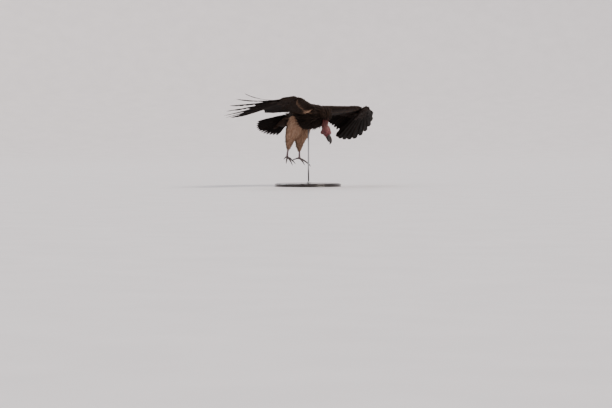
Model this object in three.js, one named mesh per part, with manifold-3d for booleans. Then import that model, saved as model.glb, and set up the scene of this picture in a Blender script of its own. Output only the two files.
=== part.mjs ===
// A life-size lappet-faced vulture (Torgos tracheliotos) coming in to land, held over a round
// display base by one rod. Millimetres, +X the way the bird faces, +Y its left side, +Z up.
// The origin is the middle of the base's underside.
import * as THREE from "three";
import { mergeVertices } from "three/addons/utils/BufferGeometryUtils.js";
import Module from "manifold-3d";

const wasm = await Module();
wasm.setup();

// ---------------------------------------------------------------- driving dimensions
const GAP = 0.35; // left between two pieces that meet
const BASE = { radius: 310, thickness: 32, edge: 5 };
const ROD = { radius: 7, x: 6 };
const HUMERUS = 250; // wing bones, from joint to joint
const ULNA = 290;
const HAND = 185;
const FLEX_REACH = 470; // shoulder to wrist, with the elbow bent for landing
const SHOULDER = { x: 118, y: 80, z: 724 };
const VANE = { thickness: 3, finger: 40 };
const PRIMARY_LENGTHS = [450, 490, 535, 580, 622, 635, 630, 620, 572, 490]; // innermost first
const SECONDARY = { count: 14, length: 360 };
const TERTIAL = { count: 5, length: 245 };
const RECTRIX = { count: 12, length: 365 };
const TAIL = { x: -205, z: 668, yaw: 12, pitch: 23, fan: 31, roll: 18 };

// How each wing is held, in degrees. Sweep is forward of straight out and raise above level. A
// feather's yaw is outward from straight back and its pitch is below level: inner is the secondary
// at the elbow, middle the innermost primary, outer the outermost one. Bow dips the hand's middle,
// spread gathers the outer primaries, curl bends their ends up, and flick dips the outermost before
// its end rises. Lead is the hand's own line.
const WING_POSES = {
  right: {
    sweep: 23, raise: 11.8, pitch: 12,
    inner: { yaw: -6, pitch: 9 }, middle: { yaw: 6, pitch: 14 }, outer: { yaw: 85, pitch: -2 },
    bow: 9, spread: 1.4, curl: 0.05, flick: 0.2, lead: { sweep: -2, raise: -5, pitch: 24 },
  },
  left: {
    sweep: 16, raise: 2, pitch: 16,
    inner: { yaw: 14, pitch: 11 }, middle: { yaw: 9, pitch: 36 }, outer: { yaw: 58, pitch: 5 },
    bow: 1, spread: 2, curl: 0.03, flick: 0, lead: { sweep: -26, raise: -3, pitch: 44 },
  },
};

// ---------------------------------------------------------------- finishes
const finish = (color, roughness, metalness = 0) =>
  new THREE.MeshStandardMaterial({ color, roughness, metalness });
const PLUMAGE = finish(0x241a15, 0.8);
const FLIGHT = finish(0x120e0d, 0.7);
const DOWN = finish(0xb99a80, 0.95);
const FACE = finish(0xb4676a, 0.6);
const LEG_SKIN = finish(0x6d6256, 0.7);
const BILL_HORN = finish(0x4f4a33, 0.4);
const CLAW_HORN = finish(0x141210, 0.4);
const EYE = finish(0x1b0f0a, 0.1);
const LACQUER = finish(0x1c1b1a, 0.35);
const STEEL = finish(0x8a8c8e, 0.3, 1);

// ---------------------------------------------------------------- small tools
const vec = (x, y, z) => new THREE.Vector3(x, y, z);
const rad = THREE.MathUtils.degToRad;
const lerp = THREE.MathUtils.lerp;
const smooth = THREE.MathUtils.smoothstep;
const side = (name) => (name === "left" ? 1 : -1);

// A closed solid of a geometry, turned outwards if its mapping turned it in.
function solidOf(geometry) {
  const bare = geometry.clone();
  bare.deleteAttribute("normal");
  bare.deleteAttribute("uv");
  const merged = mergeVertices(bare, 1e-3);
  const make = (triVerts) =>
    new wasm.Manifold(
      new wasm.Mesh({ numProp: 3, vertProperties: merged.attributes.position.array, triVerts }),
    );
  const made = make(new Uint32Array(merged.index.array));
  return made.volume() < 0 ? make(new Uint32Array(merged.index.array).reverse()) : made;
}

function geometryOf(solid) {
  const mesh = solid.getMesh();
  const positions = new Float32Array(mesh.numVert * 3);
  for (let i = 0; i < mesh.numVert; i++)
    positions.set(mesh.vertProperties.subarray(i * mesh.numProp, i * mesh.numProp + 3), i * 3);
  const geometry = new THREE.BufferGeometry();
  geometry.setAttribute("position", new THREE.BufferAttribute(positions, 3));
  geometry.setIndex(new THREE.BufferAttribute(new Uint32Array(mesh.triVerts), 1));
  geometry.computeVertexNormals();
  return geometry;
}

const join = (solids) => solids.reduce((a, b) => a.add(b));
const cutBy = (solid, ...cutters) => cutters.reduce((a, b) => a.subtract(b), solid);
const largest = (solid) =>
  solid.decompose().reduce((a, b) => (a.volume() > b.volume() ? a : b));

// A rounded form swept along stations [x, y, z, half width, half height]. The width lies across the
// up direction; grow adds a skin all round, which makes the cutter for a neighbour.
function softForm(stations, { around = 18, along = 14, up = vec(0, 0, 1), blunt = 3, grow = 0 } = {}) {
  const path = new THREE.CatmullRomCurve3(stations.map((s) => vec(s[0], s[1], s[2])));
  const sizes = new THREE.CatmullRomCurve3(stations.map((s) => vec(s[3], s[4], 0)));
  const form = new THREE.SphereGeometry(1, around, along);
  const at = form.attributes.position;
  for (let i = 0; i < at.count; i++) {
    const t = THREE.MathUtils.clamp((1 - at.getY(i)) / 2, 0, 1);
    const turn = Math.atan2(at.getZ(i), at.getX(i));
    const onPole = Math.hypot(at.getX(i), at.getZ(i)) < 1e-4;
    const ring = onPole ? 0 : (1 - Math.abs(2 * t - 1) ** blunt) ** (1 / blunt);
    const forward = path.getTangent(t);
    const across = vec(0, 0, 0).crossVectors(forward, up).normalize();
    const top = vec(0, 0, 0).crossVectors(across, forward);
    const size = sizes.getPoint(t);
    const place = path
      .getPoint(t)
      .addScaledVector(forward, grow * (2 * t - 1))
      .addScaledVector(across, (size.x + grow) * ring * Math.cos(turn))
      .addScaledVector(top, (size.y + grow) * ring * Math.sin(turn));
    at.setXYZ(i, place.x, place.y, place.z);
  }
  return solidOf(form);
}

// A point on a feather's shaft at a share of its length; its end may curl up.
const onShaft = (feather, t) =>
  feather.root.clone()
    .addScaledVector(feather.along, t * feather.length)
    .add(vec(0, 0, feather.curl * feather.length * t * t));

// Feathers of a row, from one to another, as one thin sheet. Neighbours share an edge up to the
// notch between them and are free beyond it, no wider than a finger. Feathers of the row that are
// not in the sheet are left a gap away.
function vaneSheet(row, from, to, { notchRow = 1, rows = 2, tip = 0.45 } = {}) {
  const place = (i, sign, k) => {
    const own = row[i];
    const first = THREE.MathUtils.clamp(sign < 0 ? i - 1 : i, 0, row.length - 2);
    const a = sign ? row[first] : row[Math.max(0, i - 1)];
    const b = sign ? row[first + 1] : row[Math.min(row.length - 1, i + 1)];
    const notch = sign ? (a.notch + b.notch) / 2 : own.notch;
    const free = Math.max(0, (k - notchRow) / (rows - notchRow));
    const t = free ? lerp(notch, 1, free) : (notch * k) / notchRow;
    const across = onShaft(b, t).sub(onShaft(a, t));
    const normal = vec(0, 0, 0).crossVectors(across, a.along.clone().add(b.along)).normalize();
    if (normal.z < 0) normal.negate();
    const half = Math.min(across.length(), VANE.finger) / 2;
    across.normalize();
    const at = onShaft(own, t);
    if (!sign) return { at, normal };
    if (!row[i + sign]) at.addScaledVector(across, sign * half * lerp(1, tip, free ** 2));
    else if (free) at.addScaledVector(across, sign * half * 0.92 * lerp(1, tip, free ** 2));
    else {
      at.copy(onShaft(a, t)).add(onShaft(b, t)).multiplyScalar(0.5);
      if (i + sign < from || i + sign > to) at.addScaledVector(across, -sign * GAP);
    }
    return { at, normal };
  };
  const positions = [];
  const quad = (...corners) =>
    [0, 1, 2, 0, 2, 3].forEach((c) => positions.push(...corners[c].toArray()));
  for (let i = from; i <= to; i++) {
    const grid = [-1, 0, 1].map((sign) =>
      Array.from({ length: rows + 1 }, (_, k) => {
        const { at, normal } = place(i, sign, k);
        const lift = (way) => at.clone().addScaledVector(normal, (way * VANE.thickness) / 2);
        return { top: lift(1), under: lift(-1) };
      }));
    for (let k = 0; k < rows; k++) {
      for (const c of [0, 1]) {
        const [p, q, r, s] = [grid[c][k], grid[c + 1][k], grid[c + 1][k + 1], grid[c][k + 1]];
        quad(p.top, q.top, r.top, s.top);
        quad(s.under, r.under, q.under, p.under);
        if (k === 0) quad(q.top, p.top, p.under, q.under);
        if (k === rows - 1) quad(s.top, r.top, r.under, s.under);
      }
      const [p, s, q, r] = [grid[0][k], grid[0][k + 1], grid[2][k], grid[2][k + 1]];
      if (i === from || k >= notchRow) quad(p.top, s.top, s.under, p.under);
      if (i === to || k >= notchRow) quad(r.top, q.top, q.under, r.under);
    }
  }
  const sheet = new THREE.BufferGeometry();
  sheet.setAttribute("position", new THREE.Float32BufferAttribute(positions, 3));
  return solidOf(sheet);
}

// ---------------------------------------------------------------- trunk, neck and head
const TRUNK = [
  [-222, 0, 672, 34, 26], [-190, 0, 669, 58, 48], [-130, 0, 663, 84, 82], [-50, 0, 658, 103, 104],
  [30, 0, 656, 112, 110], [105, 0, 660, 108, 103], [165, 0, 663, 90, 86], [208, 0, 664, 60, 62],
];
const RUFF = [
  [172, 0, 680, 70, 64], [206, 0, 666, 64, 62], [223, 0, 636, 52, 48], [217, 0, 598, 40, 34],
];
const NECK = [[212, 0, 650, 30, 28], [212, 0, 606, 29, 27], [200, 0, 566, 30, 28], [200, 0, 540, 30, 28]];
// The soft vent and undertail coverts, which follow the tail to its side.
const UNDERTAIL = [
  [-130, 0, 640, 60, 58], [-196, -6, 622, 62, 56], [-258, -16, 602, 54, 46], [-314, -28, 580, 36, 27],
  [-350, -36, 562, 14, 9],
];
const trunk = (grow) => softForm(TRUNK, { around: 18, along: 12, grow });
const undertail = (grow) => softForm(UNDERTAIL, { around: 12, along: 8, grow });
const ruff = (grow) => softForm(RUFF, { around: 14, along: 8, up: vec(1, 0, 0.4), blunt: 2.4, grow });
const neck = (grow) => softForm(NECK, { around: 12, along: 6, up: vec(1, 0, 0), grow });

// The head's own frame: s runs from the nape to the bill's tip, c from the throat to the crown.
const NAPE = vec(192, 0, 557);
const BILL_PITCH = 61.5;
const headAlong = vec(Math.cos(rad(BILL_PITCH)), 0, -Math.sin(rad(BILL_PITCH)));
const headCrown = vec(Math.sin(rad(BILL_PITCH)), 0, Math.cos(rad(BILL_PITCH)));
const onHead = (s, c, ...sizes) => [
  NAPE.x + headAlong.x * s + headCrown.x * c, 0, NAPE.z + headAlong.z * s + headCrown.z * c, ...sizes,
];
const CRANIUM = [
  onHead(-14, 8, 22, 24), onHead(10, 8, 33, 36), onHead(38, 9, 38, 41),
  onHead(66, 7, 35, 38), onHead(88, 3, 26, 30), onHead(104, 1, 18, 25),
];
const UPPER_BILL = [
  onHead(92, 10, 15, 20), onHead(116, 11, 15, 19), onHead(142, 9, 12.5, 19),
  onHead(162, 3, 9, 15), onHead(173, -9, 6, 8), onHead(176, -21, 3, 4),
];
const LOWER_BILL = [
  onHead(84, -17, 15, 10), onHead(112, -17, 13, 8.5), onHead(138, -16, 10, 7), onHead(155, -14, 6, 4),
];
const EYE_AT = { s: 74, c: 13, y: 29, radius: 9.5 };
const cranium = (grow) => softForm(CRANIUM, { around: 16, along: 10, up: headCrown, blunt: 2.6, grow });
const upperBill = (grow) => softForm(UPPER_BILL, { around: 10, along: 11, up: headCrown, grow });
const lowerBill = (grow) => softForm(LOWER_BILL, { around: 8, along: 7, up: headCrown, grow });

function eyeball(name, grow) {
  const [x, , z] = onHead(EYE_AT.s, EYE_AT.c);
  const ball = new THREE.SphereGeometry(EYE_AT.radius + grow, 10, 6);
  return solidOf(ball.translate(x, side(name) * EYE_AT.y, z));
}

// ---------------------------------------------------------------- legs
// The trousers of down over thigh and shank, then the bare tarsus, four toes and their claws.
const SHANK = [
  [-66, 50, 684, 40, 44], [-80, 54, 650, 52, 64], [-96, 59, 606, 55, 75], [-114, 63, 548, 55, 77],
  [-140, 66, 490, 49, 66], [-155, 70, 445, 42, 52], [-164, 74, 404, 35, 38], [-170, 79, 362, 27, 25],
  [-173, 82, 340, 14, 15],
];
const TARSUS = [[-172, 80, 368, 11, 12], [-175, 84, 330, 8.5, 9], [-179, 87, 298, 9, 10], [-178, 88, 274, 13, 15]];
const FOOT = { x: -178, y: 88, z: 270 };
const TOE_RADIUS = 8.5;
const TOES = {
  middle: { yaw: 0, length: 98, claw: 36 },
  inner: { yaw: -33, length: 66, claw: 38 },
  outer: { yaw: 31, length: 70, claw: 32 },
  hind: { yaw: 180, length: 46, claw: 38 },
};
const FOOT_POSES = { right: { pitch: 27, yaw: -25, drop: 0 }, left: { pitch: 26, yaw: 15, drop: 14 } };

const legStations = (rows, name) =>
  rows.map(([x, y, z, across, fore]) => [x, side(name) * y, z - FOOT_POSES[name].drop, across, fore]);
const shank = (name, grow) =>
  softForm(legStations(SHANK, name), { around: 13, along: 10, up: vec(1, 0, 0), grow });
const tarsus = (name, grow) =>
  softForm(legStations(TARSUS, name), { around: 8, along: 4, up: vec(1, 0, 0), blunt: 5, grow });

// The direction of a toe: spread by its yaw, then the front toes hang down by the foot's pitch.
function toeHeading(name, { yaw: spread }) {
  const pose = FOOT_POSES[name];
  const yaw = rad(spread * side(name) + pose.yaw);
  const drop = spread === 180 ? rad(4) : rad(pose.pitch);
  return vec(Math.cos(yaw) * Math.cos(drop), Math.sin(yaw) * Math.cos(drop), -Math.sin(drop));
}

// A toe bows a little on the way, and its claw hooks down from the toe's end.
function toePath(name, { yaw, length }, from, to, hook) {
  const heading = toeHeading(name, { yaw });
  const start = vec(FOOT.x, side(name) * FOOT.y, FOOT.z - FOOT_POSES[name].drop);
  return [0, 0.5, 1].map((share) => {
    const reach = lerp(from, to, share);
    const bow = 7 * Math.sin(Math.PI * THREE.MathUtils.clamp(reach / length, 0, 1));
    return start.clone().addScaledVector(heading, reach).add(vec(0, 0, bow - hook * share ** 2));
  });
}
const toe = (name, key, grow) => {
  const path = toePath(name, TOES[key], -11, TOES[key].length, 0);
  const radii = [TOE_RADIUS * 1.15, TOE_RADIUS, TOE_RADIUS * 0.85];
  const stations = path.map((p, i) => [p.x, p.y, p.z, radii[i], radii[i] * 0.9]);
  return softForm(stations, { around: 6, along: 4, blunt: 5, grow });
};
const claw = (name, key, grow) => {
  const { length, claw } = TOES[key];
  const path = toePath(name, TOES[key], length - 6, length + claw, 17);
  const radii = [6.2, 4.6, 1.2];
  const stations = path.map((p, i) => [p.x, p.y, p.z, radii[i], radii[i] * 1.1]);
  return softForm(stations, { around: 6, along: 5, grow });
};
const foot = (name, grow) => join(Object.keys(TOES).map((key) => toe(name, key, grow)));

// ---------------------------------------------------------------- wings
// A direction from its sweep forward of straight out and its raise above level.
const heading = (name, sweep, raise) =>
  vec(
    Math.sin(rad(sweep)) * Math.cos(rad(raise)),
    side(name) * Math.cos(rad(sweep)) * Math.cos(rad(raise)),
    Math.sin(rad(raise)),
  );

// The direction that trails behind a leading line, tipped down by a pitch angle.
function trailing(name, lead, pitch) {
  const back = vec(-lead.y * side(name), lead.x * side(name), 0).normalize();
  return back.multiplyScalar(Math.cos(rad(pitch))).add(vec(0, 0, -Math.sin(rad(pitch))));
}

// Joints and directions of one wing, from its pose.
function skeleton(name) {
  const pose = WING_POSES[name];
  const shoulder = vec(SHOULDER.x, side(name) * SHOULDER.y, SHOULDER.z);
  const out = heading(name, pose.sweep, pose.raise);
  const back = trailing(name, out, pose.pitch);
  const share = (HUMERUS ** 2 + FLEX_REACH ** 2 - ULNA ** 2) / (2 * HUMERUS * FLEX_REACH);
  const elbow = shoulder.clone()
    .addScaledVector(out, HUMERUS * share)
    .addScaledVector(back, HUMERUS * Math.sqrt(1 - share ** 2));
  const wrist = shoulder.clone().addScaledVector(out, FLEX_REACH);
  const lead = heading(name, pose.lead.sweep, pose.lead.raise);
  const handBack = trailing(name, lead, pose.lead.pitch);
  return { pose, shoulder, out, back, elbow, wrist, lead, handBack };
}
const BONES = { right: skeleton("right"), left: skeleton("left") };
const upperFace = (name, along, back) =>
  vec(0, 0, 0).crossVectors(back, along).multiplyScalar(side(name)).normalize();

// The arm with its web of skin and coverts, a lens in section from shoulder to wrist.
function arm(name, grow) {
  const { shoulder, out, back, elbow } = BONES[name];
  const bendAt = elbow.clone().sub(shoulder).dot(out);
  const rows = [
    [-30, 60, 92, 46], [60, 66, 100, 38], [bendAt * 0.75, 78, 106, 31], [bendAt + 30, 78, 102, 27],
    [330, 58, 84, 23], [405, 30, 58, 20], [452, 10, 34, 14],
  ];
  const stations = rows.map(([reach, set, chord, deep]) => {
    const p = shoulder.clone().addScaledVector(out, reach).addScaledVector(back, set);
    return [p.x, p.y, p.z, chord, deep];
  });
  return softForm(stations, { around: 12, along: 10, up: upperFace(name, out, back), blunt: 4, grow });
}

// The hand with its coverts, tapering towards the wing's tip.
function hand(name, grow) {
  const { wrist, lead, handBack } = BONES[name];
  const rows = [[-16, 22, 42, 17], [45, 38, 56, 16], [110, 34, 46, 12], [165, 22, 32, 9], [205, 12, 16, 5]];
  const stations = rows.map(([reach, set, chord, deep]) => {
    const p = wrist.clone().addScaledVector(lead, reach).addScaledVector(handBack, set);
    return [p.x, p.y, p.z, chord, deep];
  });
  return softForm(stations, { around: 10, along: 7, up: upperFace(name, lead, handBack), grow });
}

// A feather's direction from its yaw outward from straight back and its pitch below level.
const featherHeading = (name, yaw, pitch) =>
  vec(
    -Math.cos(rad(yaw)) * Math.cos(rad(pitch)),
    side(name) * Math.sin(rad(yaw)) * Math.cos(rad(pitch)),
    -Math.sin(rad(pitch)),
  );

// The wing's flight feathers in one row from the body out: tertials on the humerus, secondaries on
// the ulna, primaries on the hand.
function flightRow(name) {
  const { pose, shoulder, back, elbow, wrist, lead, handBack } = BONES[name];
  const { inner, middle, outer } = pose;
  const tertials = Array.from({ length: TERTIAL.count }, (_, i) => {
    const share = (i + 0.5) / TERTIAL.count;
    return {
      root: shoulder.clone().lerp(elbow, lerp(0.22, 1, share)).addScaledVector(back, 10),
      along: featherHeading(name, lerp(inner.yaw - 14, inner.yaw, share), lerp(inner.pitch - 3, inner.pitch, share)),
      length: lerp(TERTIAL.length, SECONDARY.length - 10, share ** 0.8), notch: 0.86, curl: 0,
    };
  });
  const secondaries = Array.from({ length: SECONDARY.count }, (_, i) => {
    const share = (i + 0.5) / SECONDARY.count;
    return {
      root: elbow.clone().lerp(wrist, share).addScaledVector(back, 12),
      along: featherHeading(name, lerp(inner.yaw, middle.yaw, share), lerp(inner.pitch, middle.pitch, share ** 2.4)),
      length: SECONDARY.length + 50 * share ** 2, notch: 0.88, curl: 0,
    };
  });
  const primaries = PRIMARY_LENGTHS.map((length, i) => {
    const share = i / (PRIMARY_LENGTHS.length - 1);
    const yaw = lerp(middle.yaw, outer.yaw, 1 - (1 - share) ** pose.spread);
    const flick = pose.flick * share ** 8;
    const pitch = lerp(middle.pitch, outer.pitch, share ** 1.4) + pose.bow * Math.sin(Math.PI * share)
      + THREE.MathUtils.radToDeg(flick);
    return {
      root: wrist.clone().addScaledVector(lead, lerp(8, HAND - 10, share)).addScaledVector(handBack, lerp(24, 8, share)),
      along: featherHeading(name, yaw, pitch), length,
      notch: lerp(0.84, 0.42, smooth(share, 0.15, 1)), curl: pose.curl * share + flick,
    };
  });
  return { row: [...tertials, ...secondaries, ...primaries], firstPrimary: TERTIAL.count + SECONDARY.count };
}

// The alula lies on the hand's leading edge.
function alula(name) {
  const { wrist, lead, handBack } = BONES[name];
  const face = upperFace(name, lead, handBack);
  const root = wrist.clone().addScaledVector(lead, 26).addScaledVector(handBack, -22).addScaledVector(face, 5);
  const at = (reach, back) => root.clone().addScaledVector(lead, reach).addScaledVector(handBack, back);
  const stations = [[at(0, 0), 11], [at(60, 2), 14], [at(120, 7), 11], [at(160, 13), 4]];
  return softForm(stations.map(([p, r]) => [p.x, p.y, p.z, r, 3]), { around: 8, along: 6, up: face });
}

// ---------------------------------------------------------------- tail
function tailAxes() {
  const { yaw, pitch, roll } = TAIL;
  const dip = vec(-Math.cos(rad(yaw)), -Math.sin(rad(yaw)), 0)
    .multiplyScalar(Math.cos(rad(pitch)))
    .add(vec(0, 0, -Math.sin(rad(pitch))));
  const across = vec(-Math.sin(rad(yaw)), Math.cos(rad(yaw)), 0)
    .multiplyScalar(Math.cos(rad(roll)))
    .add(vec(0, 0, -Math.sin(rad(roll))));
  return { dip, across };
}
function tailRow() {
  const { x, z, fan } = TAIL;
  const { dip, across } = tailAxes();
  return Array.from({ length: RECTRIX.count }, (_, i) => {
    const share = (2 * i) / (RECTRIX.count - 1) - 1; // -1 on the bird's right
    const turn = rad(fan * share);
    return {
      root: vec(x, 0, z).addScaledVector(across, 30 * share),
      along: dip.clone().multiplyScalar(Math.cos(turn)).addScaledVector(across, Math.sin(turn)),
      length: RECTRIX.length * (1 - 0.1 * share ** 2), notch: 0.87, curl: -0.04,
    };
  });
}

// ---------------------------------------------------------------- stand
function standBase() {
  const { radius, thickness, edge } = BASE;
  const profile = [
    new THREE.Vector2(0, 0), new THREE.Vector2(radius, 0), new THREE.Vector2(radius, thickness - edge),
    new THREE.Vector2(radius - edge, thickness), new THREE.Vector2(0, thickness),
  ];
  return solidOf(new THREE.LatheGeometry(profile, 40).rotateX(Math.PI / 2));
}
function standRod() {
  const foot = BASE.thickness + GAP;
  const top = 640;
  const rod = new THREE.CylinderGeometry(ROD.radius, ROD.radius, top - foot, 16);
  return solidOf(rod.rotateX(Math.PI / 2).translate(ROD.x, 0, (top + foot) / 2));
}

// ---------------------------------------------------------------- the pieces, each cut clear of its neighbours
const bird = new THREE.Group();
function add(name, solid, material) {
  const mesh = new THREE.Mesh(geometryOf(largest(solid)), material);
  mesh.name = name;
  bird.add(mesh);
}

const trunkCut = trunk(GAP);
const ruffCut = ruff(GAP);
const neckCut = neck(GAP);

add("stand_base", standBase(), LACQUER);
add("trunk", trunk(0), PLUMAGE);
add("stand_rod", cutBy(standRod(), trunkCut), STEEL);
add("neck_ruff", cutBy(ruff(0), trunkCut), PLUMAGE);
add("neck", cutBy(neck(0), trunkCut, ruffCut), FACE);
const headCuts = [neckCut, ruffCut, upperBill(GAP), lowerBill(GAP), eyeball("right", GAP), eyeball("left", GAP)];
add("head", cutBy(cranium(0), ...headCuts), FACE);
add("bill_upper", upperBill(0), BILL_HORN);
add("bill_lower", cutBy(lowerBill(0), upperBill(GAP)), BILL_HORN);
add("tail", cutBy(vaneSheet(tailRow(), 0, RECTRIX.count - 1, { notchRow: 2, rows: 3 }), trunkCut), FLIGHT);
const { dip, across } = tailAxes();
const below = vec(0, 0, 0).crossVectors(dip, across).normalize();
const underTail = below.dot(vec(TAIL.x, 0, TAIL.z)) + 4 + VANE.thickness / 2;
const vent = undertail(0).trimByPlane(below.toArray(), underTail);
add("undertail", cutBy(vent, trunkCut, shank("right", GAP), shank("left", GAP)), PLUMAGE);

for (const name of ["right", "left"]) {
  add(`eye_${name}`, eyeball(name, 0), EYE);

  const shankCut = shank(name, GAP);
  const footCut = foot(name, GAP);
  add(`shank_${name}`, cutBy(shank(name, 0), trunkCut), DOWN);
  add(`tarsus_${name}`, cutBy(tarsus(name, 0), shankCut, footCut), LEG_SKIN);
  add(`foot_${name}`, foot(name, 0), LEG_SKIN);
  for (const key of Object.keys(TOES)) add(`claw_${key}_${name}`, cutBy(claw(name, key, 0), footCut), CLAW_HORN);

  const { out, elbow } = BONES[name];
  const armCut = arm(name, GAP);
  const handCut = hand(name, GAP);
  const armWhole = cutBy(arm(name, 0), trunkCut, ruffCut);
  const bendAt = elbow.dot(out);
  const normal = [out.x, out.y, out.z];
  add(`upper_arm_${name}`, armWhole.trimByPlane(normal.map((n) => -n), GAP / 2 - bendAt), PLUMAGE);
  add(`forearm_${name}`, armWhole.trimByPlane(normal, bendAt + GAP / 2), PLUMAGE);
  add(`hand_${name}`, cutBy(hand(name, 0), armCut), PLUMAGE);
  add(`alula_${name}`, cutBy(alula(name), armCut, handCut), FLIGHT);

  const { row, firstPrimary } = flightRow(name);
  const sheet = (from, to, form) => cutBy(vaneSheet(row, from, to, form), trunkCut, armCut, handCut);
  add(`tertials_${name}`, sheet(0, TERTIAL.count - 1), FLIGHT);
  add(`secondaries_${name}`, sheet(TERTIAL.count, firstPrimary - 1), FLIGHT);
  add(`primaries_${name}`, sheet(firstPrimary, row.length - 1, { notchRow: 2, rows: 4, tip: 0.3 }), FLIGHT);
}

export default bird;
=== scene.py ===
import math

import bmesh
import bpy
import numpy as np
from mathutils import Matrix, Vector, kdtree, noise
from mathutils.bvhtree import BVHTree


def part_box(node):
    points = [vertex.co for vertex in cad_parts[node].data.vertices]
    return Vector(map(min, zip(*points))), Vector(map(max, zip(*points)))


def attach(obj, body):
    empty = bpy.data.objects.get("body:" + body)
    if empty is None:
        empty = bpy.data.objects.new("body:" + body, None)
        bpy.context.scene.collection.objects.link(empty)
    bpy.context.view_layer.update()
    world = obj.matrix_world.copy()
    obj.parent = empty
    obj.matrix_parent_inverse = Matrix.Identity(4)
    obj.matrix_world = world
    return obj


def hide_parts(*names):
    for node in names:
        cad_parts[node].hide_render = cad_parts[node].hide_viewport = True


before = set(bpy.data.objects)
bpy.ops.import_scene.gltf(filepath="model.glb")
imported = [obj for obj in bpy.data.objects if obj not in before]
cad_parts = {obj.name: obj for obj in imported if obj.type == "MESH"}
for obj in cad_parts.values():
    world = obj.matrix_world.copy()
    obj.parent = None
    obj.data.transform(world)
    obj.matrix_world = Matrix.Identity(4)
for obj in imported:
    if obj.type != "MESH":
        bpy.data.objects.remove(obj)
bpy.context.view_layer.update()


# ------------------------------------------------------------------ display base
# A round board of turned hardwood under black lacquer, 620 across. Its edge is a rounded nose over a
# shallow cove, and it stands on the floor by its whole underside.
MM = 0.001
FULL_TURN = 2 * math.pi


def srgb(code):
    """Linear colour of an sRGB hex value."""
    parts = [int(code[i:i + 2], 16) / 255 for i in (0, 2, 4)]
    return tuple(p / 12.92 if p <= 0.04045 else ((p + 0.055) / 1.055) ** 2.4 for p in parts) + (1.0,)


def fill(tree, node, sockets):
    """Links or sets a node's inputs."""
    for name, value in sockets.items():
        if isinstance(value, bpy.types.NodeSocket):
            tree.links.new(value, node.inputs[name])
        else:
            node.inputs[name].default_value = value


def add_node(tree, kind, sockets, stops=(), **settings):
    """Adds a node: its settings, its input values or links, and a ramp's stops."""
    made = tree.nodes.new(kind)
    for name, value in settings.items():
        setattr(made, name, value)
    fill(tree, made, sockets)
    for i, (place, colour) in enumerate(stops):
        bar = made.color_ramp.elements
        stop = bar[i] if i < 2 else bar.new(place)
        stop.position, stop.color = place, srgb(colour)
    return made


class Look:
    """A material. Each call but the last two adds one node and returns the socket it gives."""

    def __init__(self, name):
        self.material = bpy.data.materials.new(name)
        self.material.use_nodes = True
        self.tree = self.material.node_tree

    def add(self, kind, sockets, give=0, **settings):
        return add_node(self.tree, kind, sockets, **settings).outputs[give]

    def place(self):
        return self.add("ShaderNodeTexCoord", {}, "Object")

    def mapped(self, vector, **sockets):
        return self.add("ShaderNodeMapping", {"Vector": vector, **sockets})

    def noise(self, vector, scale, detail, **sockets):
        return self.add("ShaderNodeTexNoise", {"Vector": vector, "Scale": scale, "Detail": detail, **sockets}, "Fac")

    def mark(self, name):
        return self.add("ShaderNodeAttribute", {}, "Fac", attribute_name=name)

    def ramp(self, fac, *stops):
        return self.add("ShaderNodeValToRGB", {"Fac": fac}, stops=stops)

    def between(self, value, low, high, start=0.0, end=1.0):
        return self.add("ShaderNodeMapRange", {"Value": value, "From Min": start, "From Max": end,
                                               "To Min": low, "To Max": high})

    def math(self, operation, *values):
        return self.add("ShaderNodeMath", dict(enumerate(values)), operation=operation)

    def mix(self, share, one, two):
        return self.add("ShaderNodeMix", {0: share, 6: one, 7: two}, 2, data_type="RGBA")

    def relief(self, height, strength, distance):
        self.surface(Normal=self.add("ShaderNodeBump", {"Height": height, "Strength": strength,
                                                        "Distance": distance}))

    def surface(self, **sockets):
        """Sets or links the shader's inputs, an underscore standing for a space in a name."""
        fill(self.tree, self.tree.nodes["Principled BSDF"],
             {name.replace("_", " "): value for name, value in sockets.items()})


def mesh_piece(name, points, faces, material):
    """A smooth object at the origin from points in metres and faces."""
    mesh = bpy.data.meshes.new(name)
    mesh.from_pydata([tuple(map(float, p)) for p in points], [], faces)
    mesh.polygons.foreach_set("use_smooth", [True] * len(mesh.polygons))
    mesh.update()
    if material:
        mesh.materials.append(material)
    return placed(name, mesh)


def placed(name, thing):
    """A new object in the scene."""
    made = bpy.data.objects.new(name, thing)
    bpy.context.collection.objects.link(made)
    return made


def band(low, high, around, turned=False):
    """The faces between two rings, given their first points; turned swaps their outer side."""
    pairs = [(i, (i + 1) % around) for i in range(around)]
    if turned:
        return [(low + i, high + i, high + j, low + j) for i, j in pairs]
    return [(low + i, low + j, high + j, high + i) for i, j in pairs]


def bands(rings, around, turned=False, first=0):
    return [face for k in range(rings - 1)
            for face in band(first + k * around, first + (k + 1) * around, around, turned)]


def fan(hub, first, around, turned=False):
    """Triangles from a hub to a ring."""
    ring = [(first + i, first + (i + 1) % around) for i in range(around)]
    return [(hub, b, a) if turned else (hub, a, b) for a, b in ring]


def closed_rings(rings, around, turned=False):
    """The faces of a stack of rings, closed by the two hubs whose points follow them."""
    hub = rings * around
    return (bands(rings, around, turned) + fan(hub, 0, around, not turned)
            + fan(hub + 1, hub - around, around, turned))


def lathe(name, profile, segments, material, centre=(0.0, 0.0)):
    """A turned solid: radius and height pairs, from the axis back to the axis."""
    turns = np.linspace(0, FULL_TURN, segments, endpoint=False)
    points = [(centre[0] + r * math.cos(a), centre[1] + r * math.sin(a), z) for r, z in profile[1:-1] for a in turns]
    points += [(*centre, profile[0][1]), (*centre, profile[-1][1])]
    return mesh_piece(name, points, closed_rings(len(profile) - 2, segments), material)


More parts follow.
